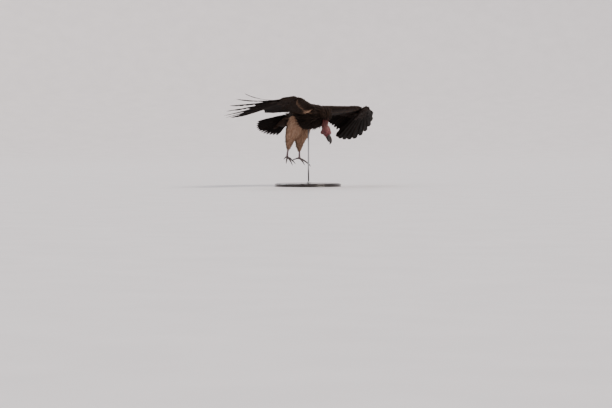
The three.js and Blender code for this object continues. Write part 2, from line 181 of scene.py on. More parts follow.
# Black lacquer over open-grained oak: nearly mirror smooth, with the grain just read through it.
look = Look("black_lacquered_oak")
stretched = look.mapped(look.place(), Scale=(1.4, 14, 14))
grain = look.noise(stretched, 18.0, 8.0, Roughness=0.6, Distortion=0.8)
pores = look.add("ShaderNodeTexWave", {"Vector": stretched, "Scale": 9.0, "Distortion": 9.0, "Detail": 4.0}, "Fac",
                 bands_direction="Y")
look.surface(Base_Color=look.ramp(grain, (0.25, "0e0b0a"), (0.8, "2c221d")), Coat_Weight=0.6, Coat_Roughness=0.12,
             Roughness=look.between(grain, 0.22, 0.38))
look.relief(pores, 0.12, 0.0006)

base_radius, base_height = 0.310, 0.032
nose_radius, nose_height = 0.007, 0.019
cove = [(base_radius - 0.006, 0), (base_radius - 0.001, 0.002), (base_radius - 0.001, 0.009),
        (base_radius - 0.006, 0.0112)]
nose = [(base_radius - nose_radius * (1 - math.sin(a)), nose_height - nose_radius * math.cos(a))
        for a in np.linspace(0, math.pi, 9)]
shoulder = [(base_radius - 0.012, 0.0268), (base_radius - 0.016, 0.0300), (base_radius - 0.022, 0.0316),
            (base_radius - 0.030, base_height), (0.2, base_height), (0.1, base_height)]
board = lathe("base_board", [(0, 0), *cove, *nose, *shoulder, (0, base_height)], 128, look.material)
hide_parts("stand_base")
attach(board, "root")


# ------------------------------------------------------------------ rod
# A 14 mm rod of stainless steel from the board up into the bird's keel. A turned steel flange with
# three countersunk screws holds its foot.
look = Look("satin_stainless_steel")
brushed = look.noise(look.mapped(look.place(), Scale=(1, 1, 42)), 60.0, 5.0)
look.surface(Base_Color=look.ramp(brushed, (0.3, "8d8f91"), (0.7, "b4b5b6")), Metallic=1.0,
             Roughness=look.between(brushed, 0.24, 0.42))
look.relief(brushed, 0.15, 0.0002)
steel = look.material


def turned_steel(name, profile, segments, centre):
    """A turned steel piece; heights are above the board."""
    foot_z = base_height + 0.0002
    piece = lathe(name, [(r, foot_z + z) for r, z in profile], segments, steel, centre)
    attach(piece, "root")
    return piece


low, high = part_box("stand_rod")
rod_x, rod_radius, rod_top = (low[0] + high[0]) / 2, 0.007, high[2] - base_height - 0.0002
rod = turned_steel("rod", [(0, 0), (rod_radius, 0), (rod_radius, 0.1678), (rod_radius, 0.3678),
                           (rod_radius, rod_top - 0.001), (rod_radius - 0.001, rod_top), (0, rod_top)],
                   40, (rod_x, 0.0))
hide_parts("stand_rod")
turned_steel("rod_flange", [(0, 0), (0.026, 0), (0.0275, 0.0012), (0.0272, 0.003), (0.024, 0.0042), (0.0125, 0.0052),
                            (0.0115, 0.009), (0.0105, 0.0125), (0.0078, 0.0135), (0, 0.0135)], 64, (rod_x, 0.0))
for i in range(3):
    turn = FULL_TURN * i / 3 + 0.5
    spot = (rod_x + 0.0185 * math.cos(turn), 0.0185 * math.sin(turn))
    turned_steel(f"flange_screw_{i}", [(0, 0.003), (0.0030, 0.003), (0.0031, 0.0052), (0.0024, 0.0058),
                                       (0.0014, 0.0058), (0.0012, 0.0046), (0, 0.0046)], 20, spot)




# ------------------------------------------------------------------ body under the plumage
# The mounted bird's whole skin over its carved form: trunk, neck, head, legs and arms of the wings in
# one surface. It lies inside the plumage by the depth of the feathers, and is bare on head and feet.
SIDES = {"right": -1, "left": 1}
UP = np.array([0, 0, 1])


def unit(v):
    v = np.asarray(v, float)
    return v / np.maximum(np.linalg.norm(v, axis=-1, keepdims=True), 1e-12)


def smoothstep(x, low, high):
    x = np.clip((np.asarray(x, float) - low) / (high - low), 0, 1)
    return x * x * (3 - 2 * x)


def lerp(a, b, share):
    return np.asarray(a, float) + (np.asarray(b, float) - np.asarray(a, float)) * share


def curve_through(points, t):
    """The smooth curve through some points, read at each t from 0 to 1."""
    p = np.asarray(points, float)
    p = np.vstack([2 * p[0] - p[1], p, 2 * p[-1] - p[-2]])
    spans = len(p) - 3
    t = np.clip(np.atleast_1d(np.asarray(t, float)), 0, 1) * spans
    i = np.minimum(t.astype(int), spans - 1)
    w = (t - i)[:, None]
    a, b, c, d = (p[i + k] for k in range(4))
    gaps = [np.sqrt(np.linalg.norm(q - r, axis=1))[:, None] for q, r in ((a, b), (b, c), (c, d))]
    g1 = np.where(gaps[1] < 1e-4, 1.0, gaps[1])
    g0, g2 = np.where(gaps[0] < 1e-4, g1, gaps[0]), np.where(gaps[2] < 1e-4, g1, gaps[2])
    t1 = ((b - a) / g0 - (c - a) / (g0 + g1) + (c - b) / g1) * g1
    t2 = ((c - b) / g1 - (d - b) / (g1 + g2) + (d - c) / g2) * g1
    return b + t1 * w + (-3 * b + 3 * c - 2 * t1 - t2) * w ** 2 + (2 * b - 2 * c + t1 + t2) * w ** 3


class Form:
    """A rounded form along stations of x, y, z, half width and half height, in millimetres."""

    def __init__(self, rows, up=(0, 0, 1), blunt=3.0, coat=0.0):
        self.rows, self.up, self.blunt, self.coat = np.asarray(rows, float), np.asarray(up, float), blunt, coat
        self.path = self.rows[:, :3]
        self.length = np.linalg.norm(np.diff(self.path, axis=0), axis=1).sum()

    def at(self, t, turn, grow=0.0):
        """Points in millimetres on the form, grown by a skin."""
        t, turn = np.broadcast_arrays(np.atleast_1d(np.asarray(t, float)), np.atleast_1d(np.asarray(turn, float)))
        sizes = np.column_stack([self.rows[:, 3:5], np.zeros(len(self.rows))])
        forward = unit(curve_through(self.path, t + 1e-4) - curve_through(self.path, t - 1e-4))
        across = unit(np.cross(forward, self.up))
        top = np.cross(across, forward)
        ring = (1 - np.abs(2 * t - 1) ** self.blunt) ** (1 / self.blunt)
        size = curve_through(sizes, t)
        return (curve_through(self.path, t) + forward * (grow * (2 * t - 1))[:, None]
                + across * ((size[:, 0] + grow) * ring * np.cos(turn))[:, None]
                + top * ((size[:, 1] + grow) * ring * np.sin(turn))[:, None])

    def frame_at(self, t, turn, grow=0.0):
        """Points with the outward normal, the direction along the form and the one around it."""
        step_t, step_a = 2e-3, 5e-3
        here = self.at(t, turn, grow)
        along = unit(self.at(np.minimum(t + step_t, 0.999), turn, grow)
                     - self.at(np.maximum(t - step_t, 0.001), turn, grow))
        around = unit(self.at(t, turn + step_a, grow) - self.at(t, turn - step_a, grow))
        normal = unit(np.cross(around, along))
        out = here - curve_through(self.path, t)
        normal *= np.where((normal * out).sum(1) < 0, -1, 1)[:, None]
        return here, normal, along, around

    def girth(self, t, steps, grow=0.0):
        """The length round the form at t."""
        loop = self.at(np.full(steps + 1, t), np.linspace(0, FULL_TURN, steps + 1), grow)
        return np.linalg.norm(np.diff(loop, axis=0), axis=1).sum()

    def mesh(self, around=40, along=36, grow=0.0):
        """The closed form as points and faces."""
        stops = (1 - np.cos(np.linspace(0, math.pi, along + 1)[1:-1])) / 2
        turns = np.linspace(0, FULL_TURN, around, endpoint=False)
        grid = self.at(np.repeat(stops, around), np.tile(turns, len(stops)), grow)
        points = np.vstack([grid, self.at(0.0, 0.0, grow), self.at(1.0, 0.0, grow)])
        return points, closed_rings(len(stops), around, turned=True)


# The head's own frame: s from the nape to the bill's tip, c from the throat to the crown.
nape = np.array([192.0, 0.0, 557.0])
head_tilt = math.radians(61.5)
head_along = np.array([math.cos(head_tilt), 0, -math.sin(head_tilt)])
head_crown = np.array([math.sin(head_tilt), 0, math.cos(head_tilt)])


def on_head(s, c, y=0.0):
    return nape + head_along * s + head_crown * c + np.array([0, y, 0])


def head_rows(rows):
    """A form's stations from s, c and the two half sizes."""
    return [[*on_head(s, c), *sizes] for s, c, *sizes in rows]


def head_places(points):
    """The s and c of points in millimetres."""
    return (points - nape) @ head_along, (points - nape) @ head_crown


FORMS = {
    "trunk": Form([[-222, 0, 672, 34, 26], [-190, 0, 669, 58, 48], [-130, 0, 663, 84, 82], [-50, 0, 658, 103, 104],
                   [30, 0, 656, 112, 110], [105, 0, 660, 108, 103], [165, 0, 663, 90, 86], [208, 0, 664, 60, 62]],
                  coat=13),
    "undertail": Form([[-130, 0, 640, 60, 58], [-196, -6, 622, 62, 56], [-258, -16, 602, 54, 46],
                       [-314, -28, 580, 36, 27], [-350, -36, 562, 14, 9]], coat=13),
    "ruff": Form([[172, 0, 680, 70, 64], [206, 0, 666, 64, 62], [223, 0, 636, 52, 48], [217, 0, 598, 40, 34]],
                 up=(1, 0, 0.4), blunt=2.4, coat=12),
    "neck": Form([[212, 0, 650, 30, 28], [212, 0, 606, 29, 27], [200, 0, 566, 30, 28], [200, 0, 540, 30, 28]],
                 up=(1, 0, 0)),
    "cranium": Form(head_rows([(-14, 8, 22, 24), (10, 8, 33, 36), (38, 9, 38, 41), (66, 7, 35, 38), (88, 3, 26, 30),
                               (104, 1, 18, 25)]), up=head_crown, blunt=2.6, coat=0.8),
}

foot_poses = {"right": {"pitch": 27, "yaw": -25, "drop": 0}, "left": {"pitch": 26, "yaw": 15, "drop": 14}}
toes = {"middle": {"yaw": 0, "length": 98, "claw": 36}, "inner": {"yaw": -33, "length": 66, "claw": 38},
        "outer": {"yaw": 31, "length": 70, "claw": 32}, "hind": {"yaw": 180, "length": 46, "claw": 38}}
toe_radii = (9.775, 8.5, 7.225)
shank_rows = [[-66, 50, 684, 40, 44], [-80, 54, 650, 52, 64], [-96, 59, 606, 55, 75], [-114, 63, 548, 55, 77],
              [-140, 66, 490, 49, 66], [-155, 70, 445, 42, 52], [-164, 74, 404, 35, 38], [-170, 79, 362, 27, 25],
              [-173, 82, 340, 14, 15]]
tarsus_rows = [[-172, 80, 368, 11, 12], [-175, 84, 330, 8.5, 9], [-179, 87, 298, 9, 10], [-178, 88, 274, 13, 15]]


def leg_rows(rows, name):
    return [[x, SIDES[name] * y, z - foot_poses[name]["drop"], a, f] for x, y, z, a, f in rows]


def toe_path(name, key, start, end, hook=0):
    """Three points along a toe or its claw, and the direction it points."""
    pose, toe = foot_poses[name], toes[key]
    yaw = math.radians(toe["yaw"] * SIDES[name] + pose["yaw"])
    drop = math.radians(4 if key == "hind" else pose["pitch"])
    heading = np.array([math.cos(yaw) * math.cos(drop), math.sin(yaw) * math.cos(drop), -math.sin(drop)])
    ankle = np.array([-178, SIDES[name] * 88, 270 - pose["drop"]])
    places = []
    for share in (0, 0.5, 1):
        reach = start + (end - start) * share
        bow = 7 * math.sin(math.pi * min(max(reach / toe["length"], 0), 1))
        places.append(ankle + heading * reach + UP * (bow - hook * share ** 2))
    return places, heading


for name in SIDES:
    FORMS[f"shank_{name}"] = Form(leg_rows(shank_rows, name), up=(1, 0, 0), coat=11)
    FORMS[f"tarsus_{name}"] = Form(leg_rows(tarsus_rows, name), up=(1, 0, 0), blunt=5, coat=0.6)
    for key in toes:
        places, _ = toe_path(name, key, -11, toes[key]["length"])
        FORMS[f"toe_{key}_{name}"] = Form([[*p, r, r * 0.9] for p, r in zip(places, toe_radii)], blunt=5, coat=0.5)

# The wings' bones: the shoulder, elbow and wrist, the way the arm and hand run, and the way each
# trails. Angles are in degrees.
wing_poses = {
    "right": {"sweep": 23, "raise": 11.8, "pitch": 12, "inner": (-6, 9), "middle": (6, 14), "outer": (85, -2),
              "bow": 9, "spread": 1.4, "curl": 0.05, "flick": 0.2, "lead": (-2, -5, 24)},
    "left": {"sweep": 16, "raise": 2, "pitch": 16, "inner": (14, 11), "middle": (9, 36), "outer": (58, 5),
             "bow": 1, "spread": 2, "curl": 0.03, "flick": 0, "lead": (-26, -3, 44)},
}
humerus, ulna, flex_reach = 250.0, 290.0, 470.0


def heading_of(name, sweep, lift):
    sweep, lift = math.radians(sweep), math.radians(lift)
    return np.array([math.sin(sweep) * math.cos(lift), SIDES[name] * math.cos(sweep) * math.cos(lift), math.sin(lift)])


def trailing(name, lead, pitch):
    back = unit([-lead[1] * SIDES[name], lead[0] * SIDES[name], 0])
    return back * math.cos(math.radians(pitch)) - UP * math.sin(math.radians(pitch))


def wing_form(start, out, back, rows, **settings):
    """A form along a bone; its stations give the reach, the place behind the bone and the half sizes."""
    return Form([[*(start + out * r + back * s), *sizes] for r, s, *sizes in rows], **settings)


BONES = {}
for name, pose in wing_poses.items():
    shoulder = np.array([118, SIDES[name] * 80, 724.0])
    out = heading_of(name, pose["sweep"], pose["raise"])
    back = trailing(name, out, pose["pitch"])
    share = (humerus ** 2 + flex_reach ** 2 - ulna ** 2) / (2 * humerus * flex_reach)
    elbow = shoulder + out * humerus * share + back * humerus * math.sqrt(1 - share ** 2)
    wrist = shoulder + out * flex_reach
    lead = heading_of(name, *pose["lead"][:2])
    hand_back = trailing(name, lead, pose["lead"][2])
    hand_upper = unit(np.cross(lead, hand_back) * SIDES[name])
    BONES[name] = {"shoulder": shoulder, "out": out, "back": back, "elbow": elbow, "wrist": wrist,
                   "lead": lead, "hand_back": hand_back, "hand_upper": hand_upper}
    bend = float((elbow - shoulder) @ out)
    FORMS[f"arm_{name}"] = wing_form(
        shoulder, out, back, [[-30, 60, 92, 46], [60, 66, 100, 38], [bend * 0.75, 78, 106, 31],
                              [bend + 30, 78, 102, 27], [330, 58, 84, 23], [405, 30, 58, 20], [452, 10, 34, 14]],
        up=unit(np.cross(out, back) * SIDES[name]), blunt=4, coat=6)
    FORMS[f"hand_{name}"] = wing_form(
        wrist, lead, hand_back, [[-16, 22, 42, 17], [45, 38, 56, 16], [110, 34, 46, 12], [165, 22, 32, 9],
                                 [205, 12, 16, 5]], up=hand_upper, coat=4.5)


# ------------------------------------------------------------------ folds, lids and pads of the skin
# The bare skin is too big for the bird's face: it hangs in lappets from the cheeks, rings the ears,
# swells into thick lids and brows, and is creased across the nape. The toes have fleshy pads beneath.
def joined(meshes):
    """Several points and faces as one."""
    points, faces, start = [], [], 0
    for p, f in meshes:
        points.append(p)
        faces += [tuple(i + start for i in face) for face in f]
        start += len(p)
    return np.vstack(points), faces


smooth_head, faces = joined([FORMS[key].mesh(48, 40, -FORMS[key].coat) for key in ("cranium", "neck")])
head_tree = BVHTree.FromPolygons([Vector(p) for p in smooth_head], faces)


def on_cheek(s, c, sign, lift):
    """The head's side at s and c, pushed out by lift."""
    well_aside, inside = 90.0, 10.0
    spot, normal, _, _ = head_tree.ray_cast(Vector(on_head(s, c, sign * well_aside)), Vector((0, -sign, 0)))
    if spot is None:
        spot, normal, _, _ = head_tree.find_nearest(Vector(on_head(s, c, sign * inside)))
    normal = np.array(normal) if normal[1] * sign > 0 else -np.array(normal)
    return np.array(spot) + normal * lift, normal


cheek_folds = {
    # Name: points s, c with the fold's half thickness, half depth and how far it stands off.
    "brow": [(93, 18, 1.8, 3.0, 0.4), (83, 25, 3.2, 4.6, 1.4), (71, 28, 3.4, 4.8, 1.6), (59, 22, 2.4, 3.4, 0.6)],
    "under_eye": [(89, 3, 1.6, 2.4, 0.4), (79, -3, 2.4, 3.2, 1.0), (66, -2, 2.5, 3.2, 1.0), (56, 6, 1.8, 2.4, 0.4)],
    "cheek": [(90, -13, 1.8, 2.6, 0.4), (74, -16, 2.8, 4.2, 1.4), (58, -18, 3.0, 4.6, 1.8), (42, -17, 3.0, 4.4, 1.6),
              (26, -10, 2.6, 3.6, 1.0), (12, -2, 1.8, 2.6, 0.4)],
    "lappet": [(70, -22, 1.7, 4.0, 0.0), (60, -26, 2.2, 8.0, 3.0), (49, -28, 2.4, 15.0, 8.0),
               (40, -29, 2.3, 15.5, 9.5), (28, -27, 2.3, 9.0, 4.0), (12, -20, 1.9, 5.0, 0.5)],
    "jowl": [(82, -22, 1.6, 2.6, 0.2), (66, -25, 2.4, 3.6, 1.0), (50, -26, 2.4, 3.6, 1.0), (34, -24, 1.8, 2.8, 0.4)],
    "ear_front": [(51, 11, 1.7, 2.4, 0.4), (49, 3, 2.5, 4.0, 1.4), (44, -6, 2.6, 4.0, 1.4), (35, -9, 2.0, 2.8, 0.4)],
    "ear_back": [(37, 14, 1.8, 2.6, 0.4), (31, 6, 2.7, 4.4, 1.8), (29, -4, 2.7, 4.4, 1.8), (34, -12, 1.9, 2.8, 0.4)],
    "neck_fold": [(26, 16, 2.0, 3.0, 0.4), (15, 9, 3.0, 4.6, 1.4), (4, 2, 3.2, 4.8, 1.6), (-8, 0, 3.0, 4.4, 1.2),
                  (-22, 2, 2.2, 3.0, 0.4)],
    "crown_fold": [(32, 28, 1.6, 2.4, 0.2), (19, 26, 2.6, 3.4, 0.8), (6, 21, 2.8, 3.6, 0.8), (-8, 17, 2.0, 2.6, 0.2)],
}
nape_creases = ((22, 62), (10, 70), (-3, 74), (-15, 70), (-28, 64), (-40, 56))  # s, and degrees down each side
folded = []
for sign in (1, -1):
    for key, line in cheek_folds.items():
        spots = [on_cheek(s, c, sign, lift) for s, c, _, _, lift in line]
        rows = [[*spot, thick, deep] for (spot, _), (_, _, thick, deep, _) in zip(spots, line)]
        facing = np.mean([n for _, n in spots], axis=0)
        if key == "lappet":
            facing = facing * 0.75 - head_crown * 0.65
        folded.append(Form(rows, up=unit(facing), blunt=2.6).mesh(14, 26))
    for s, wide in nape_creases:
        # Half of each crease's ridge over the nape, from the crown's midline down one side.
        line = []
        for k, turn in enumerate(np.linspace(-0.04, math.radians(wide), 6)):
            start = on_head(s - 2.5 * k, 8 + 70 * math.cos(turn), sign * 70 * math.sin(turn))
            spot, _, _, _ = head_tree.ray_cast(Vector(start), Vector(unit(on_head(s - 2.5 * k, 8) - start)))
            if spot is not None:
                size = 2.0 * math.sin(math.pi * (0.30 + 0.66 * k / 5)) + 0.6
                line.append([*spot, size, size * 1.5])
        if len(line) >= 4:
            folded.append(Form(line, up=(0.3, sign, 0.2), blunt=3).mesh(10, 20))

eye_centre = {name: on_head(74, 13, SIDES[name] * 29.0) for name in SIDES}
eye_axis = {name: unit(head_along * 0.10 + head_crown * 0.06 + np.array([0, SIDES[name], 0])) for name in SIDES}


def square_to(axis):
    """Two directions square to an eye's axis."""
    one = unit(np.cross(axis, head_crown))
    return one, np.cross(axis, one)


def lid(name, major, minor, squash, reach, around=40, section=14):
    """A closed ring round an eye; squash flattens it towards a slit."""
    centre, axis = eye_centre[name], eye_axis[name]
    one, two = square_to(axis)
    points, faces = [], []
    for i in range(around):
        a = FULL_TURN * i / around
        radial = one * math.cos(a) + two * math.sin(a) * squash
        for b in FULL_TURN * np.arange(section) / section:
            points.append(centre + radial * major + unit(radial) * minor * math.cos(b)
                          + axis * (minor * math.sin(b) + reach))
        faces += band(i * section, (i + 1) % around * section, section, turned=True)
    return np.array(points), faces


for name in SIDES:
    folded += [lid(name, major=9.0, minor=2.9, squash=0.80, reach=5.6),
               lid(name, major=14.5, minor=2.7, squash=0.88, reach=3.2)]

# The mouth's soft corner and the bare chin between the jaws.
mouth = ((116, -8, 9, 2.2), (106, -8, 12.5, 4.2), (95, -9, 17, 4.6), (84, -11, 22, 3.8), (74, -14, 25, 2.2))
for sign in (1, -1):
    folded.append(Form([[*on_head(s, c, sign * y), r, r * 1.1] for s, c, y, r in mouth], up=(0, sign, 0)).mesh(14, 18))
chin = head_rows([(40, -26, 12, 6), (58, -28, 17, 9), (78, -24, 17, 9), (96, -20, 13, 7), (112, -22, 8, 4)])
folded.append(Form(chin, up=head_crown).mesh(24, 24))

for name in SIDES:
    for key, toe in toes.items():
        for share, size in ((0.30, 7.2), (0.62, 7.0), (0.90, 6.2)):
            (_, middle, _), heading = toe_path(name, key, toe["length"] * share - 8, toe["length"] * share + 8)
            under = unit(np.cross(np.cross(heading, UP), heading))
            pad = ((-8, 0.5, 0.4), (-3, 1, 0.85), (3, 1, 0.85), (8, 0.5, 0.4))
            folded.append(Form([[*(middle - under * 2.6 + heading * d), size * w, size * h] for d, w, h in pad])
                          .mesh(16, 12))
for key, form in FORMS.items():
    fine = (28, 20) if key.startswith(("toe", "tarsus")) else (56, 48)
    folded.append(form.mesh(*fine, grow=-form.coat))


def evaluated(piece):
    """A piece's mesh with its modifiers applied, in place of the piece."""
    mesh = bpy.data.meshes.new_from_object(piece.evaluated_get(bpy.context.evaluated_depsgraph_get()))
    bpy.data.objects.remove(piece)
    return mesh


def points_of(mesh, what="co"):
    """The places or the normals of a mesh's points."""
    flat = np.empty(len(mesh.vertices) * 3)
    mesh.vertices.foreach_get(what, flat)
    return flat.reshape(-1, 3)


def evened(mesh, weight, rounds):
    """Evens a mesh out by as much as its weight says."""
    pairs = np.empty(len(mesh.edges) * 2, int)
    mesh.edges.foreach_get("vertices", pairs)
    pairs = pairs.reshape(-1, 2)
    co = points_of(mesh)
    degree = np.maximum(np.bincount(pairs.ravel(), minlength=len(co)), 1)[:, None]
    for _ in range(rounds):
        total = np.stack([np.bincount(pairs[:, 0], co[pairs[:, 1], k], len(co))
                          + np.bincount(pairs[:, 1], co[pairs[:, 0], k], len(co)) for k in range(3)], 1)
        co = co + weight[:, None] * (total / degree - co)
    return co


def move_to(mesh, co):
    mesh.vertices.foreach_set("co", co.ravel())
    mesh.update()


# One closed surface over all the joined, overlapping solids.
cell_size, hidden_share = 0.0021, 0.175  # metres, and the part of the hidden faces that is kept
points, faces = joined(folded)
draft = mesh_piece("skin_draft", points * MM, faces, None)
one_skin = draft.modifiers.new("one_skin", "REMESH")
one_skin.mode, one_skin.voxel_size, one_skin.use_smooth_shade = "VOXEL", cell_size, True
skin_mesh = evaluated(draft)
spots = points_of(skin_mesh)
on_feet = smoothstep(spots[:, 2], 0.36, 0.33)
on_face = smoothstep(spots[:, 2], 0.645, 0.625) * smoothstep(spots[:, 0], 0.14, 0.16)
move_to(skin_mesh, evened(skin_mesh, 0.6 - 0.3 * on_feet - 0.32 * on_face, rounds=3))

# What the plumage hides is thinned out, and the face is made twice as fine.
draft = placed("skin_draft", skin_mesh)
covered = draft.vertex_groups.new(name="covered")
hidden = np.flatnonzero(np.maximum(on_feet, on_face) < 0.02)
covered.add([int(i) for i in hidden], 1.0, "REPLACE")
thin = draft.modifiers.new("thin_out", "DECIMATE")
thin.ratio, thin.vertex_group = hidden_share, "covered"
skin_mesh = evaluated(draft)
bm = bmesh.new()
bm.from_mesh(skin_mesh)
chosen = [e for e in bm.edges if all(v.co.z < 0.600 and v.co.x > 0.14 for v in e.verts)]
bmesh.ops.subdivide_edges(bm, edges=chosen, cuts=1, use_grid_fill=True, smooth=0.0)
bmesh.ops.triangulate(bm, faces=[f for f in bm.faces if len(f.verts) > 4])
bm.to_mesh(skin_mesh)
bm.free()
skin_mesh.polygons.foreach_set("use_smooth", [True] * len(skin_mesh.polygons))


# ------------------------------------------------------------------ skin
# Fine creases run over the bare head and round scales roughen the legs. Pink to red where bare, it is
# brown or cream with the roots of the down where the coat hides it.
def marks_of(places):
    """How far each place in millimetres is bare, how pale its down is, how red it is, and if it is foot."""
    # The coat ends on the neck under the ruff and on the shin above the toes, and it is cream under the
    # belly and on the thighs. The skin is reddest down the neck and on the throat.
    x, y, z = places.T
    s, c = head_places(places)
    by_neck = smoothstep(np.hypot(x - 208, y), 60, 46)
    head = smoothstep(z, 645, 620) * smoothstep(x, 145, 160) * np.maximum(smoothstep(z, 592, 572), by_neck)
    foot = smoothstep(z, 352, 335)
    cream = smoothstep(z, 640, 600) * smoothstep(x, 40, 10) * smoothstep(x, -240, -215)
    red = np.clip(0.15 + smoothstep(s, 42, -6) * 0.75 + 0.35 * smoothstep(c, 6, -28)
                  - 0.15 * smoothstep(s, 60, 95), 0, 1)
    bare = np.clip(head + foot, 0, 1)
    return bare, cream * (1 - bare), red, foot


def put_mark(mesh, title, values):
    """Gives each point of a mesh a value that its material reads."""
    mark = mesh.attributes.new(title, "FLOAT", "POINT")
    mark.data.foreach_set("value", np.asarray(values, np.float32))


skin_mesh.validate()
spots, outward = points_of(skin_mesh), points_of(skin_mesh, "normal")
bare, cream, red, foot = marks_of(spots / MM)
crease = np.zeros(len(spots))
for i in np.flatnonzero((bare > 0.02) & (foot < 0.5)):
    y = spots[i][1]
    s, c = head_places(spots[i] / MM)
    smooth_crown = float(smoothstep(c, 8, 30) * smoothstep(s, 4, 22) * smoothstep(s, 100, 84))
    # Creases run round the neck and along the cheek's folds, closer together than across them.
    web = 1 - abs(noise.noise(Vector((s * 0.19, y * 55, c * 0.05))))
    fine = 1 - abs(noise.noise(Vector((s * 0.62, y * 210, c * 0.21))))
    by_eye = np.linalg.norm(spots[i] / MM - eye_centre["left" if y > 0 else "right"])
    calm = (1 - 0.7 * smooth_crown) * (0.25 + 0.75 * float(smoothstep(by_eye, 13, 20)))
    crease[i] = (1.3 * (web ** 7 - 0.3) + 0.55 * (fine ** 5 - 0.35)) * calm
crease_depth = 0.62  # millimetres
moved = spots - outward * (crease * crease_depth * bare * (1 - foot))[:, None] * MM
move_to(skin_mesh, moved)
# Painted shade: the sunk creases and the hollows between folds are made darker, the hollows found against an evened
# copy.
hollow = ((evened(skin_mesh, np.full(len(moved), 0.6), rounds=14) - moved) * outward).sum(1) / MM
crease = crease * 0.55 + np.clip(hollow * 1.5, -0.5, 1.2)
for title, values in (("bare", bare), ("pale", cream), ("red", red), ("crease", np.clip(0.5 + crease * 0.5, 0, 1)),
                      ("foot", foot)):
    put_mark(skin_mesh, title, values)
skin = placed("skin", skin_mesh)

# Living vulture skin: thin, dry and softly translucent, pink, with painted shade in a dark blood red along its creases
# and hollows. The legs are grey-brown hide in small round scales, 3 mm across.
look = Look("bare_vulture_skin")
place = look.place()
patch = look.noise(place, 55.0, 6.0, Roughness=0.6)
crown = look.ramp(patch, (0.28, "4a1f22"), (0.55, "6c383b"), (0.8, "8e5957"))
throat = look.ramp(patch, (0.28, "280506"), (0.55, "4c0e10"), (0.8, "702024"))
flesh = look.mix(look.mark("red"), crown, throat)
# Painted shade: the crease mark darkens creases and hollows towards a deep red.
flesh = look.mix(look.between(look.mark("crease"), 0.0, 0.8, 0.5, 1.0), flesh, srgb("200909"))
scales = look.add("ShaderNodeTexVoronoi", {"Vector": place, "Scale": 330.0}, "Distance", feature="DISTANCE_TO_EDGE")
hide = look.ramp(scales, (0.0, "2c2422"), (0.18, "57494a"), (0.6, "766567"))
on_leg, naked = look.mark("foot"), look.mark("bare")
flesh = look.mix(on_leg, flesh, hide)
down = look.mix(look.mark("pale"), srgb("1f1612"), srgb("a88c70"))
height = look.add("ShaderNodeMix", {0: on_leg, 2: look.noise(place, 900.0, 3.0), 3: scales}, data_type="FLOAT")
look.relief(height, 0.5, 0.0007)
look.surface(Base_Color=look.mix(naked, down, flesh), Roughness=look.between(patch, 0.42, 0.66),
             Specular_IOR_Level=look.between(naked, 0.03, 0.42), Subsurface_Weight=0.12,
             Subsurface_Radius=(0.004, 0.0015, 0.001), Subsurface_Scale=0.6)
skin_mesh.materials.append(look.material)
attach(skin, "root")
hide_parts("trunk", "undertail", "neck_ruff", "neck", "head",
            *[f"{part}_{name}" for name in SIDES
              for part in ("shank", "tarsus", "foot", "upper_arm", "forearm", "hand")])


# ------------------------------------------------------------------ eyes
# Glass eyes as a taxidermist sets them: a dark brown iris round a black pupil under a clear domed
# cornea, sunk in the lids with a third of the ball showing.
def dome_eye(name, centre, axis, radius, reach, material):
    """A ball turned round its axis, with its cornea raised; its rings lie square to the axis."""
    one, two = square_to(axis)
    around, polar = 48, np.linspace(0, math.pi, 27)[1:-1]
    points = []
    for a in polar:
        bulge = reach * max(0.0, math.cos(a) - 0.78) / 0.22
        for b in FULL_TURN * np.arange(around) / around:
            points.append(centre + axis * ((radius + bulge) * math.cos(a))
                          + (one * math.cos(b) + two * math.sin(b)) * (radius * math.sin(a)))
    points += [centre + axis * (radius + reach), centre - axis * radius]
    faces = closed_rings(len(polar), around, turned=True)
    corner, step, side = (points[i] for i in faces[0][:3])
    if np.dot(np.cross(step - corner, side - corner), corner - centre) < 0:
        faces = [face[::-1] for face in faces]
    eye = mesh_piece(name, np.array(points) * MM, faces, material)
    off_axis = [math.acos(np.clip(np.dot(unit(p - centre), axis), -1, 1)) for p in points]
    put_mark(eye.data, "off_axis", np.array(off_axis) / math.pi)
    return eye


# Blown glass over a painted iris: mirror gloss, with fine flecks in the brown.
look = Look("glass_eye")
shade = look.math("MULTIPLY_ADD", look.noise(look.place(), 1400.0, 3.0), 0.035, look.mark("off_axis"))
iris = look.ramp(shade, (0.0, "040202"), (0.12, "040202"), (0.135, "40230f"), (0.225, "24120a"), (0.25, "080504"),
                 (0.31, "5b3c36"), (1.0, "8a605a"))
look.surface(Base_Color=iris, Roughness=0.06, IOR=1.4, Coat_Weight=0.15, Coat_Roughness=0.03)
for name, letter in (("right", "R"), ("left", "L")):
    eye = dome_eye(f"eye_{letter}", eye_centre[name], eye_axis[name], radius=9.0, reach=0.6,
                   material=look.material)
    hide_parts(f"eye_{name}")
    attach(eye, "root")


# ------------------------------------------------------------------ bill
# The great hooked bill: a horn sheath over bone, swollen at the cere with a slit nostril on each side,
# ridged along the top, and with a sharp cutting edge that runs out over the lower jaw.
upper_rows = ((92, 10, 15, 20), (116, 11, 15, 19), (142, 9, 12.5, 19), (162, 3, 9, 15), (173, -9, 6, 8),
              (176, -21, 3, 4))
lower_rows = ((84, -17, 15, 10), (112, -17, 13, 8.5), (138, -16, 10, 7), (155, -14, 6, 4))


def swell(x, middle, width):
    return np.exp(-((x - middle) / width) ** 2)


